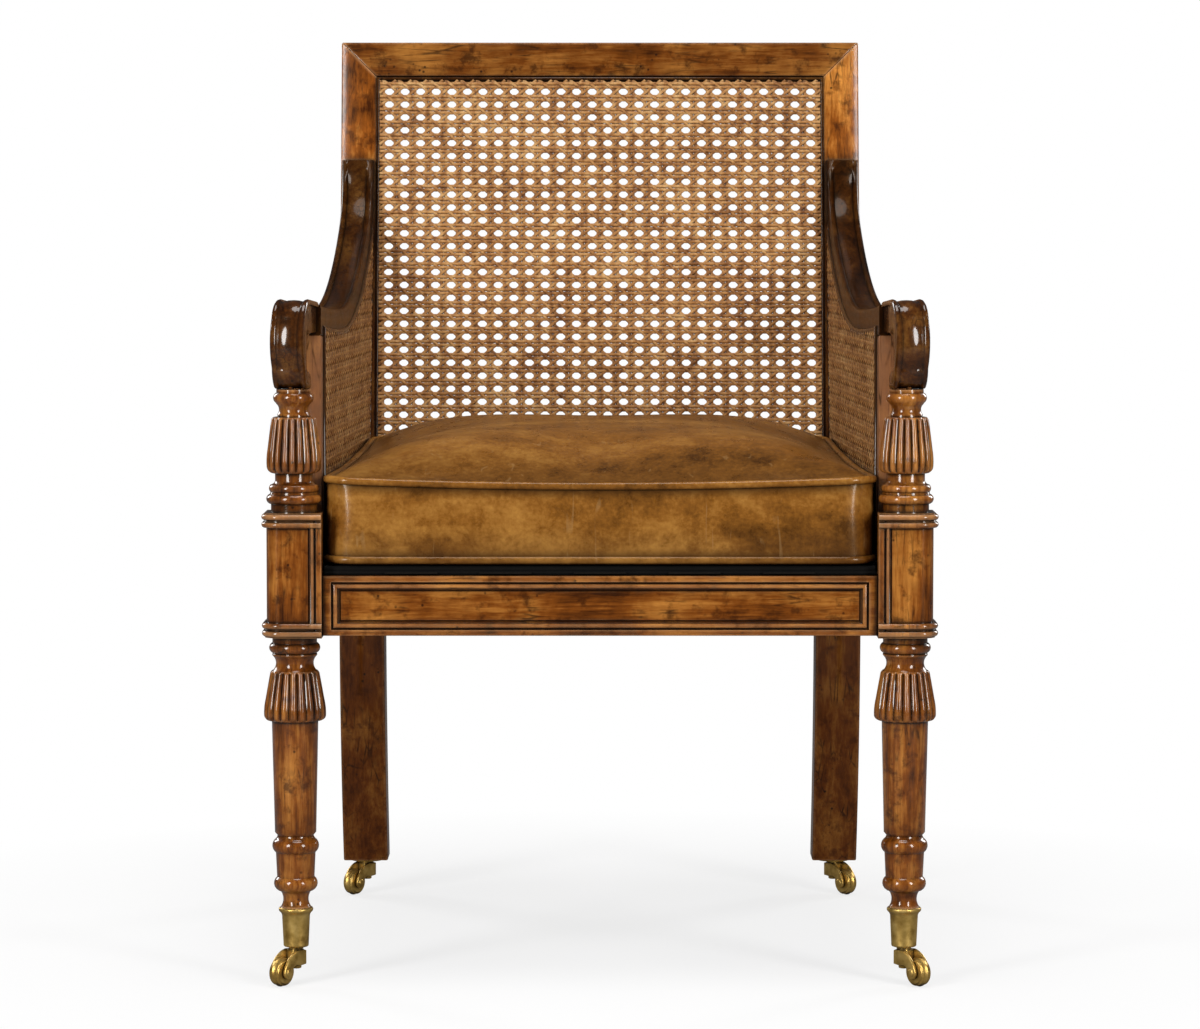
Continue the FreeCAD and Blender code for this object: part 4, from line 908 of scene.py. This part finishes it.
def armLine(offset=0.0):
    # The arm's top line, or one below it, as (back, up) points.
    s = armSizes
    front, dip, centre = Vector(s["front"]), Vector(s["dip"]), Vector(s["turnCentre"])
    rise = front.y - dip.y
    frontRound = ((dip.x - front.x) ** 2 + rise ** 2) / (2 * rise)
    sweepCentre = dip + Vector((0, s["sweep"]))
    joint = sweepCentre + (centre - sweepCentre).normalized() * (s["sweep"] + offset)
    frontCentre = dip + Vector((0, frontRound))
    start = (front.x, frontCentre.y - math.sqrt((frontRound + offset) ** 2 - (front.x - dip.x) ** 2))
    end = (centre.x + s["turn"] + offset, centre.y)
    corners = [(*start, frontRound + offset), (dip.x, dip.y - offset, s["sweep"] + offset),
               (*joint, s["turn"] + offset), end]
    return outline(corners, 40, closed=False)


class Route:
    # Distance along a drawn line, with the line's own upward normal.
    def __init__(self, points):
        self.points = points
        self.marks = [0]
        for start, end in zip(points, points[1:]):
            self.marks.append(self.marks[-1] + (end - start).length)
        self.long = self.marks[-1]

    def at(self, along):
        along = min(max(along, 0), self.long)
        index = max(i for i, mark in enumerate(self.marks[:-1]) if mark <= along)
        start, end = self.points[index], self.points[index + 1]
        step = end - start
        share = (along - self.marks[index]) / step.length
        before = self.points[max(index - 1, 0)]
        after = self.points[min(index + 2, len(self.points) - 1)]
        slope = (start - before if index else step).lerp(after - end if after != end else step, share)
        slope = (slope.normalized() + step.normalized()).normalized()
        return start + step * share, Vector((-slope.y, slope.x))


def layAlong(piece, route):
    # Bends a straight bar along the route: X is distance, Y across, Z height off the line.
    for vert in piece.data.vertices:
        spot, up = route.at(vert.co.x)
        lifted = spot + up * vert.co.z
        vert.co = Vector((vert.co.y, lifted.x, lifted.y))
    piece.data.update()


def mouldedBar(name, section, long, steps):
    bar = drawLine(name, [(0, across / 1000, up / 1000) for across, up in section], closed=True)
    pushOut(bar, (long, 0, 0), steps)
    return bar


def fillChannel(bar, long):
    # The sunk channel runs out before the bar's ends.
    s = armSizes
    front, rear = s["channelEnds"]
    for vert in bar.data.vertices:
        if abs(vert.co.y) < s["channelHalf"] and vert.co.z > s["channelFloor"]:
            near = min(vert.co.x - front, long - rear - vert.co.x) / s["channelFade"]
            vert.co.z *= min(max(near, 0), 1) ** 0.5


def armRail():
    line = armLine()
    route = Route(line + [line[-1] + Vector((0, armSizes["endRise"]))])
    bar = mouldedBar("armRailRight", armSizes["section"], route.long, armSizes["steps"])
    fillChannel(bar, route.long)
    layAlong(bar, route)
    place(bar, sideFrame["spot"], [("Z", sideFrame["turn"])])
    tidyMesh(bar)
    smooth(bar, 32)
    return bar


dressPair(armRail(), "armRailLeft", shadedArmWood, "show_wood", "arm_rail")
print("arm rails swept")


# Arm scrolls: a moulded band rolled over a shaped core

scrollSizes = {
    "flare": 12, "wide": 0.033, "recess": 0.0022, "ease": 0.0015, "foot": 0.5717, "steps": 70,
    "bandRun": [(31, 83), (5, 85.5, -24), (-21, 67, -50), (-20, 20, -26), (-11, 0.3), (3, 0.1)],
    "bandSection": [
        (-16.5, -4), (-16.2, -2), (-15.2, -0.6), (-13.4, 0), (-11.6, -0.6), (-10.5, -1.7), (-9.9, -2.6),
        (-9.2, -2.2), (-5, -1.2), (0, -0.9), (5, -1.2), (9.2, -2.2), (9.9, -2.6), (10.5, -1.7),
        (11.6, -0.6), (13.4, 0), (15.2, -0.6), (16.2, -2), (16.5, -4), (16.3, -5.2), (14, -6), (-14, -6),
        (-16.3, -5.2),
    ],
    "core": [
        (-8, 1.5), (7, 0, 9), (2, 17), (-3, 21), (-3, 39, -16), (13, 53), (31, 53), (31, 80.5), (5, 83.5, 22),
        (-19.5, 66, 49), (-18.5, 21, 18.5),
    ],
}


def armScroll():
    s = scrollSizes
    route = Route(millimetres([(-back, *rest) for back, *rest in s["bandRun"]], 16))
    bandBar = mouldedBar("scrollBand", s["bandSection"], route.long, s["steps"])
    layAlong(bandBar, route)
    for vert in bandBar.data.vertices:
        vert.co.y = -vert.co.y
    left = -s["wide"] / 2 + s["recess"]
    edge = [(left, *point) for point in millimetres(s["core"], 10, closed=True)]
    core = drawLine("scrollCore", edge, closed=True)
    pushOut(core, (s["wide"] - 2 * s["recess"], 0, 0))
    easeEdges(core, s["ease"], 2)
    tidyMesh(bandBar)
    smooth(bandBar, 32)
    smooth(core, 32)
    scroll = joinPieces("armScrollRight", [bandBar, core])
    return place(scroll, (postSpot.x, postSpot.y, s["foot"]), [("Z", s["flare"])])


dressPair(armScroll(), "armScrollLeft", scrollWood, "show_wood", "arm_scroll")
print("arm scrolls rolled")


# Cane panels: paired strands up and across, with two slanting strands woven through

caneSizes = {
    "pitch": (0.01676, 0.0140),
    "backStart": (0, 0.466),  # a crossing of two pairs
    "sideStart": (0.2, 0.53),
    "pairGap": 0.0038,
    "strand": 0.0036,
    "slant": 0.0032,
    "thick": 0.0013,
    "wave": 0.0007,
    "slantWave": 1.7,  # how much more the slanting strands weave
    "waver": 0.0003,
    "waverRate": 60,
    "beadRound": 0.0025,
    "beadInset": 0.0026,
    "endInset": 0.0044,  # the strands end under the bead
    "proud": 0.0009,
}
sideSizes = {
    "stile": 0.030, "lowerTop": 0.4297, "rearStile": 0.022, "rebate": 0.011, "half": 0.016, "postFace": 0.454,
}


def postFace(height):
    return sideSizes["postFace"] + max(height - backFoot.z, 0) * math.tan(rake)


def sideEdge(inset):
    # The side panel's edge as (back, up) points, in from the rebate's own edge.
    s = sideSizes
    move = inset - s["rebate"]
    front, foot, gap = s["stile"] + move, s["lowerTop"] + move, s["rearStile"] + move
    points = [Vector((front, foot)), Vector((postFace(foot) - gap, foot))]
    top = armLine(armSizes["deep"] + move)
    kept = []
    for start, end in zip(top, top[1:]):
        for part in range(8):
            point = start.lerp(end, part / 8)
            if front <= point.x <= postFace(point.y) - gap:
                kept.append(point)
    first = kept[0]
    points += list(reversed(kept[::6] + [kept[-1]]))
    points.append(Vector((front, first.y)))
    return points


def backEdge(inset):
    half = backSizes["half"] - inset
    foot, top = backSizes["foot"] + inset, backSizes["top"] - inset
    return [Vector(spot) for spot in ((-half, foot), (half, foot), (half, top), (-half, top))]


def isInside(point, edge):
    inside = False
    for start, end in zip(edge, edge[1:] + edge[:1]):
        if (start.y > point.y) != (end.y > point.y):
            share = (point.y - start.y) / (end.y - start.y)
            if point.x < start.x + share * (end.x - start.x):
                inside = not inside
    return inside


def clipRun(points, edge):
    # Stretches of a strand within the panel's edge, cut back to the edge itself.
    runs, run = [], []
    known = [isInside(point.xy, edge) for point in points]
    for index, point in enumerate(points):
        if index and known[index] != known[index - 1]:
            held, lost = (points[index - 1], point) if known[index - 1] else (point, points[index - 1])
            for _ in range(8):
                middle = (held + lost) / 2
                held, lost = (middle, lost) if isInside(middle.xy, edge) else (held, middle)
            run.append(held)
        if known[index]:
            run.append(point)
        elif run:
            runs.append(run)
            run = []
    if run:
        runs.append(run)
    return [part for part in runs if len(part) > 1]


def strandCurve(name, runs, wide):
    half, thick = wide / 2, caneSizes["thick"]
    shape = bpy.data.curves.new(name + "Section", "CURVE")
    section = [(-half, -thick / 2, 0), (half, -thick / 2, 0), (half * 0.92, 0.15 * thick, 0),
               (half * 0.4, thick / 2, 0), (-half * 0.4, thick / 2, 0), (-half * 0.92, 0.15 * thick, 0)]
    drawRun(shape, section, closed=True)
    sectionPiece = addObject(name + "Section", shape)
    curve = bpy.data.curves.new(name, "CURVE")
    curve.dimensions = "3D"
    curve.twist_mode = "Z_UP"
    curve.bevel_mode = "OBJECT"
    curve.bevel_object = sectionPiece
    curve.use_fill_caps = True
    for run in runs:
        drawRun(curve, run)
    piece = curveMesh(name, curve)
    bpy.data.objects.remove(sectionPiece)
    return piece


def weavePanel(name, edge, start):
    # Woven flat: X across, Y up, Z towards the sitter.
    wide, tall = caneSizes["pitch"]
    wave, rate = caneSizes["wave"], caneSizes["waverRate"]
    slantWave = wave * caneSizes["slantWave"]
    low = Vector((min(point.x for point in edge), min(point.y for point in edge)))
    high = Vector((max(point.x for point in edge), max(point.y for point in edge)))
    middle = (low + high) / 2
    columns = math.ceil((high.x - low.x) / wide / 2) + 2
    rows = math.ceil((high.y - low.y) / tall / 2) + 2
    middle.x = start[0] + round((middle.x - start[0]) / wide) * wide
    middle.y = start[1] + round((middle.y - start[1]) / tall) * tall
    uprights, levels, slants = [], [], []

    def spot(across, up, lift, key):
        stray = noise.noise(Vector((across * rate, up * rate, key * 7.3))) * caneSizes["waver"]
        return Vector((across + stray, up - stray, lift))

    for side in (-1, 1):
        shift = side * caneSizes["pairGap"] / 2
        for column in range(-columns, columns + 1):
            across = middle.x + column * wide + shift
            key = column + side * 0.3
            run = [spot(across, middle.y + step * tall / 2, -wave if step % 2 == 0 else 0, key)
                   for step in range(-2 * rows, 2 * rows + 1)]
            uprights += clipRun(run, edge)
        for row in range(-rows, rows + 1):
            up = middle.y + row * tall + shift
            key = row + 40 + side * 0.3
            run = [spot(middle.x + step * wide / 2, up, wave if step % 2 == 0 else 0, key)
                   for step in range(-2 * columns, 2 * columns + 1)]
            levels += clipRun(run, edge)
        for line in range(-columns - rows, columns + rows + 1):
            run = []
            for step in range(-2 * rows, 2 * rows + 1):
                across = middle.x + (line + 0.5 + side * step / 2) * wide
                over = slantWave if (step % 2 == 0) == (side < 0) else -slantWave
                run.append(spot(across, middle.y + step * tall / 2, over, line + 90))
            slants += clipRun(run, edge)
    pieces = [strandCurve(name + "Uprights", uprights, caneSizes["strand"]),
              strandCurve(name + "Levels", levels, caneSizes["strand"]),
              strandCurve(name + "Slants", slants, caneSizes["slant"])]
    return joinPieces(name, pieces)


def backCane():
    panel = weavePanel("backCane", backEdge(caneSizes["endInset"]), caneSizes["backStart"])
    return place(panel, backFoot - backAway * caneSizes["proud"], [("X", 90 - backSizes["rake"])])


def backBead():
    edge = [(*point, 0) for point in backEdge(caneSizes["beadInset"])]
    bead = tube("backCaneBead", [edge], caneSizes["beadRound"], closed=True)
    return place(bead, backFoot, [("X", 90 - backSizes["rake"])])


def sidePlace(piece, off):
    place(piece, (off - sideSizes["half"], 0, 0), [("Z", 90), ("X", 90)])  # X to the back, Y up, Z outwards
    return place(piece, sideFrame["spot"], [("Z", sideFrame["turn"])])


def sideCane():
    panel = weavePanel("sideCaneRight", sideEdge(caneSizes["endInset"]), caneSizes["sideStart"])
    return sidePlace(panel, -caneSizes["proud"])


def sideBead():
    edge = [(*point, 0) for point in sideEdge(caneSizes["beadInset"])]
    return sidePlace(tube("sideCaneBeadRight", [edge], caneSizes["beadRound"], closed=True), 0)


dress(backCane(), cane, "frame", "cane", "back_cane")
dress(backBead(), beadWood, "frame", "cane_bead", "back_cane_spline")
dressPair(sideCane(), "sideCaneLeft", cane, "cane", "side_cane")
dressPair(sideBead(), "sideCaneBeadLeft", beadWood, "cane_bead", "side_cane_spline")
print("cane woven")


# Seat: deck, straps and the loose cushion with its piping

cushionSizes = {
    "front": -0.301, "rear": 0.187, "frontHalf": 0.2622, "rearHalf": 0.2400, "corner": 0.026,
    "foot": 0.4045, "seamTop": 0.4850, "seamFoot": 0.4085, "dip": 0.006,
    "rearRise": 0.014, "crown": 0.036, "crownReach": 0.16, "crownFull": 2.64,
    "voxel": 0.006, "frames": 20, "swell": 0.008, "bulge": 0.006, "evenings": 30,
    "sideBulge": 0.0018,  # clears the side beads when the cushion is lifted
    "pipeRound": 0.0038, "pipeLift": 0.001, "lineStep": 0.02,
    "seamShadeReach": 0.011, "edgeShade": (0.07, 0.55),  # reach, then reach and share of the painted shade round the top
}
leatherCloth = {
    "quality": 6, "mass": 0.4, "tension_stiffness": 12, "compression_stiffness": 12, "shear_stiffness": 6,
    "bending_stiffness": 5, "shrink_min": -0.01, "use_pressure": True, "uniform_pressure_force": 4.0,
}


def cushionHalf(depth):
    s = cushionSizes
    share = (depth - s["front"]) / (s["rear"] - s["front"])
    return s["frontHalf"] + (s["rearHalf"] - s["frontHalf"]) * share


def cushionGap(spot):
    # How far a point lies in from the cushion's sides.
    s = cushionSizes
    half = cushionHalf(spot.y)
    gaps = [half - spot.x, half + spot.x, spot.y - s["front"], s["rear"] - spot.y]
    return sum(max(gap, 0.0001) ** -5 for gap in gaps) ** -0.2


def seamLift(spot):
    # The top seam climbs to the rear and hangs a little between the corners.
    s = cushionSizes
    across = min(abs(spot.x) / cushionHalf(spot.y), 1)
    share = (spot.y - s["front"]) / (s["rear"] - s["front"])
    hang = s["dip"] * max(1 - across ** 2, 1 - abs(2 * share - 1) ** 2)
    return s["rearRise"] * share - hang


def cushionPlan(count=8):
    s = cushionSizes
    spots = [Vector((-s["frontHalf"], s["front"])), Vector((s["frontHalf"], s["front"])),
             Vector((s["rearHalf"], s["rear"])), Vector((-s["rearHalf"], s["rear"]))]
    corners = []
    for index, spot in enumerate(spots):
        before = (spots[index - 1] - spot).normalized()
        after = (spots[(index + 1) % 4] - spot).normalized()
        corners.append((*(spot + before * s["corner"]), s["corner"]))
        corners.append((*(spot + after * s["corner"]),))
    ring = outline(corners, count)
    points = []
    for start, end in zip(ring, ring[1:] + ring[:1]):
        parts = max(1, round((end - start).length / s["lineStep"]))
        points += [start.lerp(end, part / parts) for part in range(parts)]
    return points


def cushionForm():
    s = cushionSizes
    plan = [(*point, s["foot"]) for point in cushionPlan(5)]
    form = drawLine("seatCushion", plan, closed=True)
    pushOut(form, (0, 0, s["seamTop"] - s["foot"]))
    form.data.remesh_voxel_size = s["voxel"]
    makeActive(form)
    bpy.ops.object.voxel_remesh()
    for vert in form.data.vertices:
        gap = cushionGap(vert.co)
        onTop = vert.co.z > s["seamTop"] - 0.001
        vert.co.z += seamLift(vert.co) * (vert.co.z - s["foot"]) / (s["seamTop"] - s["foot"])
        if onTop:
            short = 1 - min(gap / s["crownReach"], 1)
            vert.co.z += s["crown"] * (1 - short ** s["crownFull"])
    return form


def plumpForm(form):
    # The seams are held while the filling swells the panels between them.
    s = cushionSizes
    held = form.vertex_groups.new(name="seams")
    start = [vert.co.copy() for vert in form.data.vertices]
    rim = s["voxel"]
    spots = []
    for vert in form.data.vertices:
        top = s["seamTop"] + seamLift(vert.co)
        edge = vert.co.z > top - rim or vert.co.z < s["foot"] + rim
        if edge and cushionGap(vert.co) < rim:
            spots.append(vert.index)
    held.add(spots, 1.0, "REPLACE")
    cloth = form.modifiers.new("filling", "CLOTH")
    settings = cloth.settings
    for key, value in leatherCloth.items():
        setattr(settings, key, value)
    settings.vertex_group_mass = held.name
    settings.effector_weights.gravity = 0
    for step in range(1, s["frames"] + 1):
        bpy.context.scene.frame_set(step)
    makeActive(form)
    bpy.ops.object.modifier_apply(modifier=cloth.name)
    bpy.context.scene.frame_set(1)
    moves = [vert.co - rest for vert, rest in zip(form.data.vertices, start)]
    beside = [[] for _ in moves]
    for edge in form.data.edges:
        one, other = edge.vertices
        beside[one].append(other)
        beside[other].append(one)
    fixed = set(spots)
    for _ in range(s["evenings"]):
        means = [sum((moves[near] for near in row), Vector()) / len(row) for row in beside]
        pairs = enumerate(zip(moves, means))
        moves = [move if index in fixed else (move + mean) / 2 for index, (move, mean) in pairs]
    for vert, rest, move in zip(form.data.vertices, start, moves):
        onTop = rest.z > s["seamTop"] + seamLift(rest) - rim / 2 and cushionGap(rest) > rim
        limit = s["swell"] if onTop else s["bulge"]
        if move.length > 0:
            move *= limit * math.tanh(move.length / limit) / move.length
        move.x = s["sideBulge"] * math.tanh(move.x / s["sideBulge"])
        vert.co = rest + move
        vert.co.z = max(vert.co.z, s["foot"])
    form.vertex_groups.clear()


def cushionPiping():
    s = cushionSizes
    plan = cushionPlan()
    loops = []
    for height, share in ((s["seamTop"], 1), (s["seamFoot"], 0)):
        lifts = [seamLift(Vector((*point, 0))) * share + s["pipeLift"] for point in plan]
        loops.append([(*point, height + lift) for point, lift in zip(plan, lifts)])
    return tube("cushionPiping", loops, s["pipeRound"], closed=True, sides=4)


def markSeamShade(form):
    # 1 along the seams, fading into the panels, and a share round the top's edges; the leather is darkened
    # there as painted shade.
    s = cushionSizes
    mark = form.data.attributes.new("seam", "FLOAT", "POINT")
    for vert in form.data.vertices:
        gap = max(cushionGap(vert.co), 0)
        above = vert.co.z - s["seamTop"] - seamLift(vert.co)
        away = min(math.hypot(gap, above), math.hypot(gap, vert.co.z - s["seamFoot"]))
        shadeMark = max(1 - away / s["seamShadeReach"], 0) ** 0.8
        if above > 0:
            shadeMark = max(shadeMark, s["edgeShade"][1] * (1 - gap / s["edgeShade"][0]))
        mark.data[vert.index].value = shadeMark


def seatCushion():
    form = cushionForm()
    plumpForm(form)
    markSeamShade(form)
    makeActive(form)
    bpy.ops.object.modifier_add(type="SUBSURF")
    soften = form.modifiers[-1]
    soften.levels = 1
    soften.render_levels = 1
    bpy.ops.object.modifier_apply(modifier=soften.name)
    bpy.ops.object.shade_smooth()
    return form


cushion = seatCushion()
dress(cushion, leather, "cushion", "leather", "seat_cushion_cover", "seat_cushion_core")
dress(cushionPiping(), leather, "cushion", "leather")
print("cushion filled")

deckSizes = {
    "ease": 0.002, "webEase": 0.0004,
    # corners of the hems that hang to the rails, front and back; in the near-black deck cloth they stand in
    # for the shade in the gap under the cushion
    "shadeHems": [((-0.2635, -0.298, 0.3948), (0.2635, -0.294, 0.400)),
             ((-0.228, 0.191, 0.3860), (0.228, 0.195, 0.400))],
}


def dressCloth(piece, width, finish, slot, node):
    easeEdges(piece, width, 3)
    smooth(piece, 50)
    dress(piece, finish, "frame", slot, node)


# the hems are near-black sheets hung where shade falls under the cushion
deckAndShadeHems = [copyNode("seat_deck", "seatDeck")] + [addBox("shadeHem", *corners) for corners in deckSizes["shadeHems"]]
dressCloth(joinPieces("seatDeck", deckAndShadeHems), deckSizes["ease"], deckCloth, "deck_cloth", "seat_deck")
dressCloth(copyNode("seat_webbing", "seatWebbing"), deckSizes["webEase"], webCloth, "webbing", "seat_webbing")
print("deck covered")


# Casters: cup or plate, pin, horn, axle and wheel, made about an upright pin

casterSizes = {
    "trail": 0.021, "wheel": 0.014, "cheek": 0.0032, "cheekGap": 0.0068, "turn": -52,
    "hub": 0.0065, "bore": 0.0031, "horn": (0.0187, 0.0339), "bridge": (-0.004, 0.0062),
    "cheekEase": 0.0009, "bridgeEase": 0.0016, "hubEase": 0.0008,
    "cheekEdge": [(-4, 19.5), (5, 18.7, -7), (15.4, 15.6, 6), (21, 7.9, 6), (27, 14.6, 26), (6, 33.9),
                  (-4, 33.2)],
    "wheelLine": [(2.6, 5.2), (4.6, 5.2), (5.2, 6.0), (10.6, 6.0, 2), (12.9, 4.2, 8), (14, 0)],
    "cupLine": [(3.1, 33.95), (7, 33.95), (7, 36.3), (10.2, 36.3, 1.6), (12.1, 38.3), (13.4, 66.6, -6),
                (15.6, 70.2, 2), (16.4, 71.6, 2), (15.4, 74.3), (13.0, 74.3), (12.6, 60)],
    "plateLine": [(3.1, 33.95), (7, 33.95), (7, 35.9), (17.2, 35.9, 1), (18, 36.7), (18, 37.9), (3.1, 37.9)],
    "pinLine": [(0, 15.1), (4, 15.1, 1.2), (5, 16.1), (5, 18.6), (3, 18.65), (3, 62), (0, 62)],
    "axleLine": [(0, -11.3), (2.4, -11.2, 2.2), (4, -10.1), (2.5, -10.05), (2.5, 10.05), (4, 10.1, 2.2),
                 (2.4, 11.2), (0, 11.3)],
    "steps": 48, "axleSteps": 24,
}


def casterHorn():
    s = casterSizes
    foot, top = s["horn"]
    parts = []
    for side in (1, -1):
        near = side * s["cheekGap"]
        edge = millimetres(s["cheekEdge"], 10, closed=True)
        cheek = drawLine("cheek", [(point.x, near, point.y) for point in edge], closed=True)
        pushOut(cheek, (0, side * s["cheek"], 0))
        easeEdges(cheek, s["cheekEase"], 2)
        parts.append(cheek)
    reach = s["cheekGap"] + s["cheek"] / 2
    back, front = s["bridge"]
    bridge = addBox("bridge", (back, -reach, foot), (front, reach, top))
    easeEdges(bridge, s["bridgeEase"], 3)
    line = [(s["bore"], foot), (s["hub"], foot), (s["hub"], top), (s["bore"], top)]
    hub = turnPiece("hub", line, s["steps"], (0, 0))
    easeEdges(hub, s["hubEase"], 2)
    horn = joinPieces("casterHorn", [*parts, bridge, hub])
    smooth(horn, 35)
    return horn


def turnedBrass(name, line, steps=casterSizes["steps"]):
    piece = turnPiece(name, line, steps, (0, 0))
    smooth(piece, 40)
    return piece


def layAcross(piece):
    return place(piece, (casterSizes["trail"], 0, casterSizes["wheel"]), [("X", 90)])


def casterWheel():
    face = millimetres(casterSizes["wheelLine"])
    line = face + [Vector((point.x, -point.y)) for point in reversed(face[:-1])]
    return layAcross(turnedBrass("casterWheel", line))


def casterAxle():
    line = millimetres(casterSizes["axleLine"])
    return layAcross(turnedBrass("casterAxle", line, casterSizes["axleSteps"]))


patterns = {"caster_horn": casterHorn(), "caster_wheel": casterWheel(), "caster_axle": casterAxle()}
for part in ("pin", "cup", "plate"):
    line = millimetres(casterSizes[part + "Line"])
    patterns["caster_" + part] = turnedBrass("caster" + part.capitalize(), line)


def setCaster(end, side):
    spot = pins[f"{end}_right_swivel"]
    body, wheel = f"{end}_{side}_caster", f"{end}_{side}_wheel"
    rides = {"caster_horn": body, "caster_axle": body, "caster_wheel": wheel, "caster_pin": "frame"}
    rides["caster_cup" if end == "front" else "caster_plate"] = "frame"
    for pattern, carrier in rides.items():
        name = end + pattern.title().replace("_", "") + side.capitalize()
        piece = addObject(name, patterns[pattern].data.copy())
        place(piece, (spot.x, spot.y, 0), [("Z", casterSizes["turn"])])
        if side == "left":
            piece.data.transform(Matrix.Scale(-1, 4, (1, 0, 0)))
            piece.data.flip_normals()
        dress(piece, brass, carrier, "brass", f"{end}_{pattern}_{side}")


for end in ("front", "rear"):
    for side in ("left", "right"):
        setCaster(end, side)
for pattern in patterns.values():
    bpy.data.objects.remove(pattern)
print("casters set")


# Floor, light and camera

cameraSizes = {
    "spot": (0, -4.486, 0.742), "lens": 132.3, "sensor": 36,
    "horizon": 210, "frameTall": 1029, "frameWide": 1200,  # in the picture's pixels
}


def addCamera():
    s = cameraSizes
    data = bpy.data.cameras.new("photoCamera")
    data.sensor_width = s["sensor"]
    data.lens = s["lens"]
    data.clip_end = 100
    camera = addObject("photoCamera", data)
    focal = s["lens"] / s["sensor"] * s["frameWide"]
    tilt = math.atan((s["frameTall"] / 2 - s["horizon"]) / focal)
    camera.location = s["spot"]
    camera.rotation_euler = (math.pi / 2 - tilt, 0, 0)
    bpy.context.scene.camera = camera


lightSizes = [
    # name, spot, aim, width, height, watts
    ("leftBox", (-1.93, -2.60, 1.30), (0, 0, 0.6), 0.75, 2.0, 63),
    ("rightBox", (1.93, -2.60, 1.30), (0, 0, 0.6), 0.75, 2.0, 56),
    ("backLeftBox", (-2.3, 2.1, 1.50), (0, 0, 0.5), 0.8, 1.4, 26),
    ("backRightBox", (2.3, 2.1, 1.50), (0, 0, 0.5), 0.8, 1.4, 26),
    ("topLight", (0, -0.7, 3.1), (0, 0, 0.4), 1.5, 1.5, 32),
]


def addLights():
    for name, spot, aim, wide, tall, watts in lightSizes:
        data = bpy.data.lights.new(name, "AREA")
        data.shape = "ELLIPSE"
        data.size = wide
        data.size_y = tall
        data.energy = watts
        lamp = addObject(name, data)
        lamp.location = spot
        lamp.rotation_euler = (Vector(aim) - Vector(spot)).to_track_quat("-Z", "Y").to_euler()


studioLook = {
    "reflected": 0.03,  # how much of the white backdrop the gloss shows
    "floorWide": 30, "floorPaint": (0.16, 0.16, 0.16), "floorSeen": (0.95, 0.95, 0.95),
    "glowSpan": (0.35, 0.95), "glowShares": (0.72, 1.0),  # the floor whitens away from the chair
    "air": 0.03, "fill": 0.12,  # light on the chair from all round
}


def sightRays(tree):
    # 1 for what the eye sees straight, a share of it in a reflection, 0 for light on the chair.
    rays = addNode(tree, "ShaderNodeLightPath", out="Is Camera Ray")
    outputs = rays.socket.node.outputs
    straight = rays.calc("MAXIMUM", rays, Value(tree, outputs["Is Transmission Ray"]))
    return rays.calc("MAXIMUM", straight, Value(tree, outputs["Is Glossy Ray"]) * studioLook["reflected"])


def addFloor():
    clearSelection()
    bpy.ops.mesh.primitive_plane_add(size=studioLook["floorWide"], location=(0, 0, 0))
    floor = bpy.context.object
    floor.name = "studioFloor"
    finish, tree, shader, coords = startFinish("studioFloorPaint")
    spread = addNode(tree, "ShaderNodeVectorMath", {"operation": "LENGTH"}, {0: coords}, out="Value")
    seen = sightRays(tree)
    paint = mixColour(tree, seen, flat(studioLook["floorPaint"]), flat(studioLook["floorSeen"]))
    feed(tree, shader, Base_Color=paint, Roughness=0.9, Specular_IOR_Level=0.1)
    near, far = studioLook["glowShares"]
    away = (band(tree, spread, *studioLook["glowSpan"]) * (far - near) + near) * seen
    glow = addNode(tree, "ShaderNodeEmission", {}, {"Color": (1, 1, 1, 1), "Strength": 1})
    plain = Value(tree, shader.outputs[0])
    mixed = addNode(tree, "ShaderNodeMixShader", {}, {0: away, 1: plain, 2: glow})
    tree.links.new(mixed.socket, tree.nodes["Material Output"].inputs["Surface"])
    floor.data.materials.append(finish)


def addWorld():
    world = bpy.data.worlds.new("studioAir")
    bpy.context.scene.world = world
    world.use_nodes = True
    tree = world.node_tree
    ground = tree.nodes["Background"]
    ground.inputs["Color"].default_value = (1, 1, 1, 1)
    air = studioLook["air"]
    fill = addNode(tree, "ShaderNodeLightPath", out="Is Diffuse Ray") * studioLook["fill"]
    tree.links.new((sightRays(tree) * (1 - air) + air + fill).socket, ground.inputs["Strength"])


addCamera()
addLights()
addFloor()
addWorld()
bpy.context.scene.view_settings.view_transform = "Standard"

# Hidden pieces keep their CAD shapes
keptNodes = {
    "arm_dowels": bareWood, "back_dowels": bareWood, "seat_dowels": bareWood, "corner_blocks": bareWood,
    "corner_block_screws": steel, "rear_caster_screws": brass,
}
for node, finish in keptNodes.items():
    frame["nodes"][node].data.materials.clear()
    frame["nodes"][node].data.materials.append(finish)
